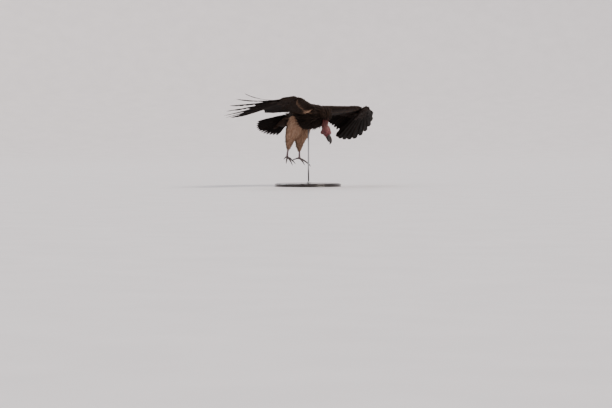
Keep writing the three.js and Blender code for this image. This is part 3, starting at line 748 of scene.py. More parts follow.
def upper_half(y, s, c):
    """The points' places across the upper half, how dark its horn is with painted shade in the nostril, and how far it
    is cere.
    """
    rise = c - np.interp(s, [row[0] for row in upper_rows], [row[1] for row in upper_rows])
    hole = np.sqrt(((s - 108) / 2.3) ** 2 + ((rise - 3.5) / 5.2) ** 2)  # 1 at the nostril's rim
    nostril = swell(hole, 0, 1)
    # The sides fall in below the ridge, and the cutting edge stands out a little.
    y = y * (1 - 0.30 * smoothstep(rise, 6, 18) * smoothstep(s, 112, 124))
    y = y * (1 + 0.07 * swell(rise, -12, 3.2) * smoothstep(s, 110, 122) * smoothstep(s, 164, 150))
    y = y * (1 - 0.06 * swell(rise, -6, 2.2) * smoothstep(s, 112, 120) * smoothstep(s, 160, 140))
    # The cere is fuller than the horn in front of it and ends in a soft step.
    y = y * (1 + 0.055 * smoothstep(s, 117.5, 114.5))
    y = y - np.sign(y) * nostril * 4.6 * smoothstep(np.abs(y), 3, 8)
    y = y + np.sign(y) * swell(hole, 1.55, 0.35) * 0.5 * smoothstep(np.abs(y), 3, 8)
    # The ridge, cutting edge and tip are darker horn; the nostril is painted near black as the shade inside it.
    dark = smoothstep(s, 150, 176) * 0.75 + 0.85 * swell(rise, -13, 3.5) + 0.55 * smoothstep(rise, 12, 19)
    return (y, np.clip(np.clip(dark, 0, 1) + nostril * 1.3, 0, 1),
            smoothstep(s, 116.5, 113.5) * (1 - np.clip(nostril * 1.5, 0, 1)))


def lower_half(y, s, c):
    return y * (1 - 0.12 * smoothstep(c, -12, -8)), 0.35 + 0.5 * smoothstep(s, 130, 156), smoothstep(s, 100, 96) * 0.7


# Horn of the bill: olive brown, darker along the ridge and cutting edge, with lengthwise growth
# streaks about 1 mm wide and a waxy gloss. The cere is blue-grey skin, and the nostril is painted near black as shade.
look = Look("bill_horn")
place = look.place()
streak = look.noise(look.mapped(look.mapped(place, Rotation=(0, head_tilt, 0)), Scale=(18, 260, 120)), 2.6, 5.0)
cloud = look.noise(place, 46.0, 3.0)
horn = look.ramp(look.math("MULTIPLY", streak, cloud), (0.12, "110d0b"), (0.26, "211915"), (0.42, "403428"))
# The dark mark carries the darker horn and the nostril's painted shade.
horn = look.mix(look.mark("dark"), horn, srgb("120e0d"))
cere = look.ramp(cloud, (0.3, "231f20"), (0.7, "403938"))
look.surface(Base_Color=look.mix(look.mark("cere"), horn, cere), Roughness=look.between(streak, 0.24, 0.46), IOR=1.54)
look.relief(streak, 0.22, 0.0005)

for half, rows, shaped in (("upper", upper_rows, upper_half), ("lower", lower_rows, lower_half)):
    points, faces = Form(head_rows(rows), up=head_crown).mesh(64, 72)
    points[:, 1], dark, cere = shaped(points[:, 1], *head_places(points))
    piece = mesh_piece(f"bill_{half}_horn", points * MM, faces, look.material)
    put_mark(piece.data, "dark", dark)
    put_mark(piece.data, "cere", cere)
    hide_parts(f"bill_{half}")
    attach(piece, "root")


# ------------------------------------------------------------------ scales of the legs
# Horny scutes wrap the top of each toe in a row, and small round scales cover the bare shin and the
# foot's knuckles. They are keratin plates with their edges sunk in the hide.
def plates(form, t, turn, long, wide, dome):
    """Domed scales on a form, each a closed lens of 5 by 5 points over a flat foot, rooted in the skin."""
    edge_sunk, foot_sunk = 0.25, 0.9
    a, b = (side.ravel() for side in np.meshgrid(*[np.linspace(-1, 1, 5)] * 2, indexing="ij"))
    pull = np.where(np.abs(a) * np.abs(b) > 0.9, 0.78, 1.0)
    a, b = a * pull, b * pull
    bump = np.clip(1 - np.abs(a) ** 3 * 0.9, 0, 1) * np.clip(1 - np.abs(b) ** 3 * 0.9, 0, 1)
    faces = [(q, q + 5, q + 6, q + 1) for i in range(4) for q in range(i * 5, i * 5 + 4)]
    rim = [0, 1, 2, 3, 4, 9, 14, 19, 24, 23, 22, 21, 20, 15, 10, 5]
    faces.append(tuple(25 + k for k in reversed(range(16))))
    faces += [(rim[k], rim[(k + 1) % 16], 25 + (k + 1) % 16, 25 + k) for k in range(16)]
    made = []
    for tt, aa, lo, wi, do in zip(t, turn, long, wide, dome):
        ts = np.clip(tt + a * lo / form.length / 2, 0.004, 0.996)
        here, normal, _, _ = form.frame_at(ts, aa + b * wi / form.girth(tt, 8) * math.pi, -form.coat)
        made.append((np.vstack([here + normal * (do * bump - edge_sunk)[:, None], (here - normal * foot_sunk)[rim]]),
                     faces))
    return made


# Dry, dull keratin, grey-brown on the shin and nearly black on the toes as painted shade, paler on worn crowns.
look = Look("leg_scale_keratin")
place = look.place()
patch = look.noise(place, 120.0, 5.0)
shin = look.ramp(patch, (0.3, "55474a"), (0.7, "806e70"))
# Painted shade: the toes' near black stands in for the shade beneath the bird.
toe_top = look.ramp(patch, (0.3, "211b1a"), (0.7, "4a3d3a"))
look.surface(Base_Color=look.mix(look.mark("toe"), shin, toe_top), Roughness=0.55, IOR=1.54)
look.relief(look.noise(place, 1500.0, 2.0), 0.3, 0.0002)

for name in SIDES:
    rng = np.random.default_rng(4 + SIDES[name])
    rings, t, turn = 24, [], []
    for k in range(rings):
        count = 11 if k < rings - 4 else 13
        t += [0.06 + 0.90 * k / rings] * count
        turn += list((np.arange(count) + 0.5 * (k % 2)) * FULL_TURN / count)
    t, turn = np.array(t), np.array(turn) + rng.normal(0, 0.03, len(t))
    made = plates(FORMS[f"tarsus_{name}"], t, turn, rng.uniform(4.2, 5.0, len(t)), rng.uniform(4.6, 5.4, len(t)),
                  rng.uniform(0.55, 0.8, len(t)))
    marks = [0.0] * len(made)
    for key, toe in toes.items():
        # Over the toe's top, from the knuckle to the claw, then down its sides.
        form, count = FORMS[f"toe_{key}_{name}"], max(6, int(toe["length"] / 6.4))
        ts = np.linspace(0.20, 0.965, count)
        _, normal, _, _ = form.frame_at(ts, math.pi / 2)
        top = -math.pi / 2 if normal[:, 2].mean() < 0 else math.pi / 2
        made += plates(form, ts, [top] * count, [6.6] * count, np.interp(ts, [0.2, 1], [17, 14]), [1.15] * count)
        marks += [1.0] * count
        many = int(count * 1.4)
        for aside in (0.95, -0.95, 1.45, -1.45):
            ts = np.linspace(0.16, 0.96, many) + rng.normal(0, 0.004, many)
            made += plates(form, ts, [top + aside] * many, [4.3] * many, [4.6] * many, [0.6] * many)
            marks += [0.85] * many
    points, faces = joined(made)
    piece = mesh_piece(f"leg_scales_{name}", points * MM, faces, look.material)
    put_mark(piece.data, "toe", np.repeat(marks, [len(p) for p, _ in made]))
    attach(piece, "root")


# ------------------------------------------------------------------ claws
# Curved horn sheaths over the last toe bones, rounded above, hollowed beneath and drawn to a blunt
# point. They are black and polished by wear.
look = Look("black_claw_horn")
streak = look.noise(look.place(), 260.0, 4.0)
look.surface(Base_Color=look.ramp(streak, (0.3, "0d0b0b"), (0.75, "322b28")),
             Roughness=look.between(streak, 0.22, 0.42), IOR=1.54)
for name in SIDES:
    for key, toe in toes.items():
        places, _ = toe_path(name, key, toe["length"] - 6, toe["length"] + toe["claw"], 17)
        form = Form([[*p, r, r * 1.1] for p, r in zip(places, (6.2, 4.6, 1.2))])
        points, faces = form.mesh(28, 30)
        # The under side is hollowed between two keels.
        spine = curve_through(form.path, np.linspace(0, 1, 60))
        near = spine[np.argmin(((points[:, None] - spine[None]) ** 2).sum(2), axis=1)]
        out = points - near
        low = smoothstep(-out[:, 2] / np.maximum(np.linalg.norm(out, axis=1), 1e-6), 0.75, 1.0)
        points = near + out * (1 - 0.25 * low)[:, None]
        piece = mesh_piece(f"claw_horn_{key}_{name}", points * MM, faces, look.material)
        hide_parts(f"claw_{key}_{name}")
        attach(piece, "root")


# ------------------------------------------------------------------ flight feathers of the wings
# Five tertials, fourteen secondaries and ten primaries a wing, each with its own quill and two vanes.
# Each one's leading vane lies over its outer neighbour, and the outer primaries narrow to fingers.
class Feather:
    """A stiff feather, in millimetres and degrees, with its two vanes' widths, outer and inner."""
    bare = 0.10  # the share of the quill, at its root, that has no vane

    def __init__(self, root, along, length, outer, inner, quill, curl=0.0, camber=0.10, cut=None, point=2.0,
                 slim=0.72, tilt=5.5, twist=0.0):
        # The vanes narrow to a finger from cut on and taper from slim on, bluntly if point is high.
        self.root, self.along, self.length, self.curl, self.quill = root, along, length, curl, quill
        self.outer, self.inner, self.camber, self.cut, self.point, self.slim = outer, inner, camber, cut, point, slim
        self.tilt, self.twist = tilt, twist

    def shaft(self, v):
        """Points along the quill at shares v of its length."""
        return (self.root + np.outer(v, self.along * self.length)
                + np.outer(self.curl * self.length * v ** 2, UP))

    def lay(self, up, *across):
        """Lays the vane one way, or one way near the root and another at the tip."""
        self.up, self.across = up, across
        return self

    def lay_between(self, before, after):
        """Lays the vane from one neighbour to the other, with its outer edge raised by the tilt."""
        lies = []
        for reach, lean in ((self.length, self.tilt + self.twist), (200, self.tilt)):
            across = (after.root + after.along * reach) - (before.root + before.along * reach)
            across = unit(across - self.along * (across @ self.along))
            up = unit(np.cross(across, self.along))
            up, lean = up if up[2] > 0 else -up, math.radians(lean)
            lies.append(unit(across * math.cos(lean) + up * math.sin(lean)))
        self.lay(unit(up * math.cos(lean) - across * math.sin(lean)), *lies[::-1])

    def webs(self, v, rng, notches, gap):
        """The widths of both vanes along the quill, with notches worn in their edges."""
        broadest, finger = 88, 21
        full = smoothstep(v, self.bare * 0.75, self.bare * 1.9)
        taper = (1 - np.clip((v - self.slim) / (1 - self.slim), 0, 1) ** self.point) ** 0.75
        web_out, web_in = np.full(len(v), float(self.outer)), np.full(len(v), float(self.inner))
        if gap is not None:
            # The inner vane is broad enough to reach well under the neighbour's quill.
            web_in = np.maximum(web_in, np.minimum(np.interp(v, *gap) * 1.16 - 0.3 * self.outer, broadest))
        if self.cut:
            web_in = web_in + (finger - web_in) * smoothstep(v, self.cut - 0.08, self.cut + 0.08)
            web_out = web_out * (1 - 0.3 * smoothstep(v, self.cut - 0.14, self.cut - 0.02))
        web_out, web_in = web_out * full * taper, web_in * full * taper
        for web in (web_out, web_in):
            places = rng.integers(8, len(v) - 3, notches)
            web[places] -= np.minimum(rng.uniform(1.5, 7.0, notches), web[places] * 0.4)
            web += np.minimum(0.35, web * 0.1) * rng.standard_normal(len(v))
        return web_out, web_in

    def mesh(self, seed, notches=7, stations=40, gap=None):
        """A closed surface: points, faces, and each point's place across and along the vane."""
        rng = np.random.default_rng(seed)
        v = np.concatenate([np.linspace(0, self.bare, 4)[:-1],
                            self.bare + (1 - self.bare) * np.linspace(0, 1, stations - 3)])
        web_out, web_in = self.webs(v, rng, notches, gap)
        half = self.quill * (1 - 0.86 * v ** 0.8)
        line = self.shaft(v)
        lean = unit(np.gradient(line, axis=0))
        across = lerp(self.across[0], self.across[-1], smoothstep(v, 0.3, 1.0)[:, None])
        side = unit(across - lean * (lean * across).sum(1)[:, None])
        rise = unit(np.cross(lean, side))
        turned = (rise @ self.up).sum() < 0
        rise = -rise if turned else rise
        top, under, places = [], [], []
        wave = 0.5 * np.sin(v * 9 + rng.uniform(0, 6)) * rng.uniform(0.3, 1)
        widest = np.maximum(np.maximum(web_out, web_in), self.inner)
        # Nine lines along the feather: three on each vane, and the quill's middle with its two sides.
        for share, on_quill in ((-1.0, 0), (-0.62, 0), (-0.25, 0), (0, -1), (0, 0), (0, 1), (0.25, 0), (0.62, 0),
                                (1.0, 0)):
            web = web_in if share < 0 else web_out
            reach = share * web + np.sign(share) * half * (abs(share) < 0.5) + on_quill * half
            if share:
                reach = np.sign(share) * np.maximum(np.abs(reach), half * 1.02)
            sag = -self.camber * reach ** 2 / widest + wave * abs(share) * 1.4
            thick = half * (1.35 if share == on_quill == 0 else 0.0) + (0.45 if abs(share) < 0.9 else 0.12)
            thick = np.maximum(thick, 0.1)[:, None]
            # Barbs sweep towards the tip, so the vane's edge runs ahead of the quill near the root.
            spot = (line + side * reach[:, None] + rise * sag[:, None]
                    + lean * (np.abs(reach) * 0.25 * (1 - v))[:, None])
            top.append(spot + rise * thick * 0.5)
            under.append(spot - rise * thick * 0.8)
            places.append(np.column_stack([np.full(len(v), 0.5 + 0.5 * share + 0.004 * on_quill), v]))
        ring = np.stack(top + under[::-1], 1)
        rings, count = ring.shape[:2]
        faces = bands(rings, count, turned=True)
        faces += [tuple(range(count)), tuple((rings - 1) * count + i for i in reversed(range(count)))]
        return (ring.reshape(-1, 3), [face[::-1] for face in faces] if turned else faces,
                np.stack(places + places[::-1], 1).reshape(-1, 2))


def feather_heading(name, yaw, pitch):
    yaw, pitch = math.radians(yaw), math.radians(pitch)
    return np.array([-math.cos(yaw) * math.cos(pitch), SIDES[name] * math.sin(yaw) * math.cos(pitch), -math.sin(pitch)])


primary_lengths = (450, 490, 535, 580, 622, 635, 630, 620, 572, 490)  # innermost first
ROWS = {}
for name, pose in wing_poses.items():
    b, right = BONES[name], name == "right"
    (in_yaw, in_pitch), (mid_yaw, mid_pitch), (out_yaw, out_pitch) = pose["inner"], pose["middle"], pose["outer"]
    tertials, secondaries, primaries = [], [], []
    for i in range(5):
        share = (i + 0.5) / 5
        heading = feather_heading(name, lerp(in_yaw - 14, in_yaw, share), lerp(in_pitch - 3, in_pitch, share))
        tertials.append(Feather(lerp(b["shoulder"], b["elbow"], lerp(0.22, 1, share)) + b["back"] * 10, heading,
                                float(lerp(245, 350, share ** 0.8)), outer=21, inner=33, quill=2.0))
    for i in range(14):
        share = (i + 0.5) / 14
        heading = feather_heading(name, lerp(in_yaw, mid_yaw, share), lerp(in_pitch, mid_pitch, share ** 2.4))
        secondaries.append(Feather(lerp(b["elbow"], b["wrist"], share) + b["back"] * 12, heading,
                                   360 + 50 * share ** 2, outer=18, inner=34, quill=2.4))
    for i, length in enumerate(primary_lengths):
        share = i / 9
        yaw = lerp(mid_yaw, out_yaw, 1 - (1 - share) ** pose["spread"])
        flick = pose["flick"] * share ** 8
        pitch = lerp(mid_pitch, out_pitch, share ** 1.4) + pose["bow"] * math.sin(math.pi * share) + math.degrees(flick)
        feather = Feather(b["wrist"] + b["lead"] * lerp(8, 175, share) + b["hand_back"] * lerp(24, 8, share),
                          feather_heading(name, yaw, pitch), length - 0.8, outer=lerp(17, 12, share),
                          inner=lerp(36, 40, share), quill=3.1, curl=pose["curl"] * share + flick)
        if right:
            feather.cut = float(lerp(0.84, 0.42, smoothstep(share, 0.15, 1))) if i > 3 else None
            feather.twist = 13 * share ** 6
        else:
            feather.camber, feather.point, feather.slim, feather.tilt = 0.015, 2.4, lerp(0.76, 0.52, share), 1.5
        primaries.append(feather)
    ROWS[name] = {"tertials": tertials, "secondaries": secondaries, "primaries": primaries}
    row = tertials + secondaries + primaries
    for before, feather, after in zip(row[:1] + row, row, row[1:] + row[-1:]):
        feather.lay_between(before, after)


def vane_map(look):
    """A feather's place from its quill to its edge, 0.5 there, and its place from root to tip."""
    split = add_node(look.tree, "ShaderNodeSeparateXYZ", {0: look.add("ShaderNodeUVMap", {}, uv_map="vane")})
    return look.math("ABSOLUTE", look.math("SUBTRACT", split.outputs["X"], 0.5)), split.outputs["Y"]


def barbs(look, off_quill, along, sweep, count):
    swept = look.math("MULTIPLY_ADD", off_quill, -sweep, along)
    return look.math("SINE", look.math("MULTIPLY", swept, count))


# The keratin vane of a flight feather: near black, browner and paler where it has worn at the edges,
# with fine barbs swept from the quill. Barbs are drawn about 1.6 mm apart where real ones are 0.5.
look = Look("flight_feather_keratin")
off_quill, along = vane_map(look)
patch = look.noise(look.place(), 26.0, 5.0)
worn = look.math("MULTIPLY", look.between(off_quill, 0.0, 1.0, 0.40, 0.5), patch)
worn = look.math("MULTIPLY_ADD", look.mark("chance"), 0.35, worn)
look.surface(Base_Color=look.ramp(worn, (0.0, "090605"), (0.4, "120d0b"), (1.0, "3a2c24")),
             Roughness=look.between(patch, 0.6, 0.8), Specular_IOR_Level=0.03)
look.relief(barbs(look, off_quill, along, 0.16, 1900.0), 0.35, 0.0004)
vane_keratin = look.material


def put_maps(mesh, uv, bake, chance):
    """Puts the vane map, the bake map and each feather's chance value on a mesh."""
    corner = np.empty(len(mesh.loops), int)
    mesh.loops.foreach_get("vertex_index", corner)
    for title, values in (("vane", uv), ("OFBake", bake)):
        layer = mesh.uv_layers.new(name=title)
        layer.data.foreach_set("uv", values[corner].astype(np.float32).ravel())
    put_mark(mesh, "chance", chance)


def strips(count):
    """The bake map's patches for some feathers side by side: left, low, width and height."""
    wide = 0.96 / count
    return [(0.02 + wide * i, 0.02, wide * 0.9, 0.96) for i in range(count)]


def feather_piece(name, parts, chances, patches):
    """One object from feathers' closed surfaces, with the maps that its material and bake read."""
    points, faces = joined([(p, f) for p, f, _ in parts])
    bake = [place * patch[2:] + patch[:2] for (_, _, place), patch in zip(parts, patches)]
    piece = mesh_piece(name, points * MM, faces, vane_keratin)
    put_maps(piece.data, np.vstack([place for _, _, place in parts]), np.vstack(bake),
             np.repeat(chances, [len(p) for p, _, _ in parts]))
    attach(piece, "root")
    return piece


for name, rows in ROWS.items():
    neighbour, shares = None, np.linspace(0, 1, 12)
    for kind, group in rows.items():
        parts, chances = [], []
        rng = np.random.default_rng(len(name) * 7 + len(group))
        for i, feather in enumerate(group):
            gap = None
            if neighbour:
                gap = (shares, np.linalg.norm(feather.shaft(shares) - neighbour.shaft(shares), axis=1))
            parts.append(feather.mesh(100 * len(name) + 10 * len(group) + i, gap=gap))
            chances.append(rng.uniform(0, 1))
            neighbour = feather
        piece = feather_piece(f"{kind}_vanes_{name}", parts, chances, strips(len(group)))
        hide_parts(f"{kind}_{name}")


# ------------------------------------------------------------------ tail feathers
# Twelve rectrices in a fan, the central pair uppermost and each one outwards under the last. Their
# tips are worn blunt from standing on the ground.
tail_yaw, tail_pitch, tail_roll = (math.radians(a) for a in (12, 23, 18))
tail_dip = np.array([-math.cos(tail_yaw), -math.sin(tail_yaw), 0]) * math.cos(tail_pitch) - UP * math.sin(tail_pitch)
tail_across = np.array([-math.sin(tail_yaw), math.cos(tail_yaw), 0]) * math.cos(tail_roll) - UP * math.sin(tail_roll)
tail_up = unit(np.cross(tail_across, tail_dip))
tail_root, tail_half_fan, lean = np.array([-205.0, 0, 668]), 31, math.radians(5)
parts = []
for i in range(12):
    share = 2 * i / 11 - 1
    turn, central = math.radians(tail_half_fan * share), 1 - abs(share)
    out = unit(tail_across * math.cos(turn) - tail_dip * math.sin(turn)) * (1 if share > 0 else -1)
    root = tail_root + tail_across * 30 * share + tail_up * ((0.9 if i == 5 else 0.0) - 6 * abs(share))
    feather = Feather(root, tail_dip * math.cos(turn) + tail_across * math.sin(turn), 365 * (1 - 0.1 * share ** 2),
                      outer=19 + 4 * central, inner=30 - 4 * central, quill=2.4, curl=-0.04, point=3.2)
    feather.lay(unit(tail_up * math.cos(lean) - out * math.sin(lean)),
                unit(out * math.cos(lean) + tail_up * math.sin(lean)))
    parts.append(feather.mesh(900 + i, notches=10))
tail_chances = [np.random.default_rng(70 + i).uniform() for i in range(12)]
tail_piece = feather_piece("tail_vanes", parts, tail_chances, strips(12))
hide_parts("tail")


# ------------------------------------------------------------------ wing coverts
# Small feathers that roof the arm and hand on both faces, row over row towards the leading edge. Each
# is a curved vane with its own quill line, rooted in the skin and lying back over the next row.
outlines = {"vane": (0.2, 0.8, 1.0, 0.98, 0.72, 0.0), "leaf": (0.18, 0.62, 0.92, 1.0, 0.93, 0.72, 0.40, 0.0),
            "down": (0.35, 0.9, 1.0, 0.7, 0.0)}  # half widths from root to tip
laid, laid_pale, covert_pieces = [], [], []


def sheaf(rng, roots, along, normal, length, width, lift, curve, outline="vane", crown=0.20, twist=0.10,
          ragged=0.12):
    """Many small feathers at once: the points of each, and the faces and vane places of one.

    They rise from the skin by the angle lift, bend back by curve and are vaulted across by crown.
    """
    shape = outlines[outline]
    rings, many = len(shape), len(roots)
    v = np.linspace(0, 1, rings)
    along = unit(along)
    across = unit(np.cross(along, normal))
    turn = rng.normal(0, twist, many)[:, None]
    along = unit(along * np.cos(turn) + across * np.sin(turn))
    across = unit(np.cross(along, normal))
    lean = rng.normal(0, twist * 0.8, many)[:, None]
    across, rise = (unit(across * np.cos(lean) + normal * np.sin(lean)),
                    unit(normal * np.cos(lean) - across * np.sin(lean)))
    length, width, lift, curve = (np.broadcast_to(size, many) for size in (length, width, lift, curve))
    sway = rng.normal(0, 0.05, many)
    laid.append(np.column_stack([roots, along, length, width]))
    points = np.empty((many, rings, 4, 3))
    for k in range(rings):
        forward = (length * v[k])[:, None] * np.cos(lift)[:, None]
        up = (length * (np.sin(lift) * v[k] - curve * v[k] ** 2))[:, None]
        line = roots + along * forward + rise * up + across * (sway * length * v[k] ** 2)[:, None]
        rag = 1 + ragged * rng.uniform(-1, 1, (2, many)) * (0 < k < rings - 1)
        half = width * shape[k]
        sag = rise * (crown * half)[:, None]
        points[:, k, 0] = line - across * (half * rag[0])[:, None] - sag
        points[:, k, 1] = line + rise * (0.03 * width * (1 - v[k]) + 0.25)[:, None]
        points[:, k, 2] = line + across * (half * rag[1])[:, None] - sag
        points[:, k, 3] = line - sag * 0.35 - rise * 0.35
    # The tip is closed to one point, the first of the last ring, which takes the quill's place.
    points[:, -1, 0] = points[:, -1, 1]
    tip = (rings - 1) * 4
    uv = np.stack([np.tile([0.0, 0.5, 1.0, 0.5], rings), np.repeat(v, 4)], 1)
    faces = bands(rings - 1, 4) + fan(tip, tip - 4, 4) + [(3, 2, 1, 0)]
    return points.reshape(many, rings * 4, 3)[:, :tip + 1], faces, uv[:tip + 1]


class Coat:
    """Gathers many small feathers into one object."""
    bake_patch = 0.003  # the side of one feather's square on the bake map

    def __init__(self):
        self.faces, self.rows, self.start = [], [], 0

    def add(self, made, spots, chance, pale):
        """Spots are the roots' places on the unwrap of the skin, as u and v from 0 to 1."""
        points, faces, uv = made
        many, each = points.shape[:2]
        laid_pale.append(pale)
        for corners in (3, 4):
            group = np.array([face for face in faces if len(face) == corners])
            shifted = group[None] + (self.start + np.arange(many) * each)[:, None, None]
            self.faces += [tuple(face) for face in shifted.reshape(-1, corners).tolist()]
        self.start += many * each
        bake = (spots[:, None, :] + (uv - 0.5)[None] * self.bake_patch).reshape(-1, 2)
        self.rows.append((points.reshape(-1, 3) * MM, np.tile(uv, (many, 1)), np.clip(bake, 0.001, 0.999),
                          np.repeat(chance, each), np.repeat(pale, each)))

    def piece(self, name, slot="body_plumage"):
        points, uv, bake, chance, pale = (np.concatenate(values) for values in zip(*self.rows))
        made = mesh_piece(name, points, self.faces, plumage)
        put_maps(made.data, uv, bake, chance)
        put_mark(made.data, "pale", pale)
        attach(made, "root")
        return made


# Body feathers: brown-black vanes with a paler worn margin and tip, turning to cream down where the
# pale mark says so. Barbs are drawn about 1.2 mm apart where real ones are 0.4.
look = Look("brown_contour_feather")
off_quill, along = vane_map(look)
wear = look.math("ADD", look.between(off_quill, 0.0, 0.35, 0.25, 0.5), look.between(along, 0.0, 0.28, 0.7, 1.0))
wear = look.math("MULTIPLY_ADD", look.mark("chance"), 0.42, wear)
dark = look.ramp(wear, (0.0, "110c09"), (0.4, "241a14"), (0.75, "423026"), (1.0, "685040"))
light = look.ramp(wear, (0.0, "9a765e"), (0.5, "bf9c82"), (1.0, "dcc2aa"))
look.surface(Base_Color=look.mix(look.mark("pale"), dark, light), Roughness=0.75, Specular_IOR_Level=0.12)
look.relief(barbs(look, off_quill, along, 0.45, 300.0), 0.4, 0.0005)
plumage = look.material

skin_tree = BVHTree.FromObject(skin, bpy.context.evaluated_depsgraph_get())


def on_skin(places, depth=9):
    """Which places in millimetres lie by the skin's outside rather than buried in a neighbour."""
    return np.array([skin_tree.find_nearest(Vector(p * MM), depth * MM)[0] is not None for p in places], bool)


def seated(roots):
    """Roots in millimetres, brought down to the skin where they stand clear of it."""
    roots = roots.copy()
    for i, root in enumerate(roots):
        spot, normal, _, _ = skin_tree.find_nearest(Vector(root * MM))
        if (Vector(root * MM) - spot).dot(normal) > 0.0005:
            roots[i] = np.array(spot - normal * 0.001) / MM
    return roots


def armpit_pale(here, rng):
    """The cream down of the armpits: how pale a feather rooted at each place is."""
    mirrored = np.column_stack([here[:, 0], np.abs(here[:, 1]), here[:, 2]])
    away = np.linalg.norm((mirrored - (138, 108, 690)) / (1.25, 1.0, 0.8), axis=1)
    return smoothstep(away + rng.normal(0, 4, len(here)), 39, 25) * rng.uniform(0.75, 1.0, len(here))


def with_between(rows):
    """Some rows of values, followed by the ones half way between them."""
    return np.concatenate([rows, (rows[1:] + rows[:-1]) / 2])


def greater_coverts(coat, group, way, share_long, half, raised, rng):
    """Two rows of long coverts over the quills' roots: one to each flight feather and each gap."""
    for layer, (set_back, long_share, raise_by) in enumerate(((0.0, 1.0, 0.0), (-22.0, 0.66, 2.2))):
        normal = np.array([f.up for f in group]) * way
        along = np.array([f.along for f in group])
        roots = np.array([f.root for f in group]) + normal * (raised + raise_by) + along * set_back
        length = with_between(np.array([min(f.length * share_long, 185) for f in group]) * long_share)
        many = len(length)
        made = sheaf(rng, seated(with_between(roots)), with_between(along), unit(with_between(normal)),
                     length * rng.uniform(0.94, 1.06, many), half * (1 - 0.12 * layer), lift=-0.02, curve=0.03,
                     outline="leaf", crown=0.14, twist=0.05, ragged=0.05)
        spots = np.column_stack([0.04 + 0.9 * np.linspace(0, 1, many), np.full(many, 0.92 + 0.03 * layer)])
        coat.add(made, spots, rng.uniform(0, 0.6, many), np.zeros(many))


def covert_row(coat, part, name, way, k, share, span, rng):
    """One row of median, lesser or marginal coverts round the arm or the hand."""
    arm, sign, form = part == "arm", SIDES[name], FORMS[f"{part}_{name}"]
    size = float(lerp(70, 22, share ** 0.8)) * (1.0 if arm else 0.8)
    count = max(6, int(span / (size * 0.34)))
    t = (np.arange(count) + 0.5 + 0.5 * (k % 2)) / count
    t = np.clip(t + rng.normal(0, 0.15 / count, count), 0.015, 0.985)
    t = t * 0.89 + 0.01 if arm else t * 0.84 + 0.125
    angle = way * math.radians(lerp(150, -3, share))
    turn = np.full(count, angle if sign > 0 else math.pi - angle) + rng.normal(0, 0.03, count)
    here, normal, ahead, around = form.frame_at(t, turn, -form.coat * 0.6)
    keep = on_skin(here)
    if not keep.any():
        return
    here, normal, ahead, around, t = (row[keep] for row in (here, normal, ahead, around, t))
    along = unit(around * way * sign + ahead * lerp(0.22, 1.5, smoothstep(share, 0.62, 0.95)))
    many = len(here)
    if arm:
        size = size * (1 - 0.5 * smoothstep(t, 0.70, 0.92))
    made = sheaf(rng, here, along, normal, size * rng.uniform(0.9, 1.1, many), size * 0.27,
                 lift=float(lerp(0.06, 0.01, smoothstep(share, 0.6, 1))), curve=0.05, twist=0.09)
    spots = np.column_stack([0.02 + 0.62 * t if arm else 0.68 + 0.30 * t, np.full(many, 0.05 + 0.84 * share)])
    tone = rng.uniform(0.25, 1.0, many) * (0.75 + 0.3 * share)
    mark = np.zeros(many)
    if arm and way < 0:
        # A thin buff bar runs along the under coverts behind the leading edge, palest near the body.
        strong = 0.12 if name == "left" else 0.28
        near = smoothstep(t, 0.26, 0.08)
        tone = np.maximum(tone, near * rng.uniform(0.7, 1.2, many))
        mark = np.exp(-((share - 0.58) / (0.04 + 0.07 * near)) ** 2) * (strong + 0.75 * near)
        mark = np.maximum(mark * rng.uniform(0.7, 1.0, many), armpit_pale(here, rng))
    coat.add(made, spots, tone, mark)


for name, sign in SIDES.items():
    for face, way, deep in (("upper", 1, 0.42), ("under", -1, 0.36)):
        coat, rows = Coat(), ROWS[name]
        rng = np.random.default_rng(31 + sign + 5 * way)
        greater_coverts(coat, rows["tertials"] + rows["secondaries"], way, 0.46, 19, 13 * deep, rng)
        greater_coverts(coat, rows["primaries"], way, 0.36, 15, 9 * deep, rng)
        # The rows run from the back edge forward.
        for part, rows_here, span in (("arm", 15, 470), ("hand", 9, 215)):
            for k in range(rows_here):
                covert_row(coat, part, name, way, k, k / (rows_here - 1), span, rng)
        covert_pieces.append(coat.piece(f"{face}_coverts_{name}"))

# The alula: three stiff feathers on the bird's thumb, lying along the hand's leading edge.
for name, b in BONES.items():
    parts = []
    for i, (set_back, length, half) in enumerate(((0, 142, 10), (9, 114, 9.5), (17, 86, 9))):
        root = b["wrist"] + b["lead"] * (36 + 4 * i) - b["hand_back"] * (8 - set_back) + b["hand_upper"] * (1 - 0.5 * i)
        along = unit(b["lead"] + b["hand_back"] * (0.05 * i - 0.03) + b["hand_upper"] * 0.02)
        feather = Feather(root, along, length, outer=half * 0.6, inner=half * 1.5, quill=1.5, camber=0.14)
        feather.lay(b["hand_upper"], unit(-b["hand_back"] + b["hand_upper"] * 0.12))
        parts.append(feather.mesh(640 + i, notches=2, stations=26))
    patches = [(0.05 + 0.3 * i, 0.05, 0.25, 0.9) for i in range(3)]
    piece = feather_piece(f"alula_vanes_{name}", parts, [0.2, 0.6, 0.4], patches)
    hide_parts(f"alula_{name}")


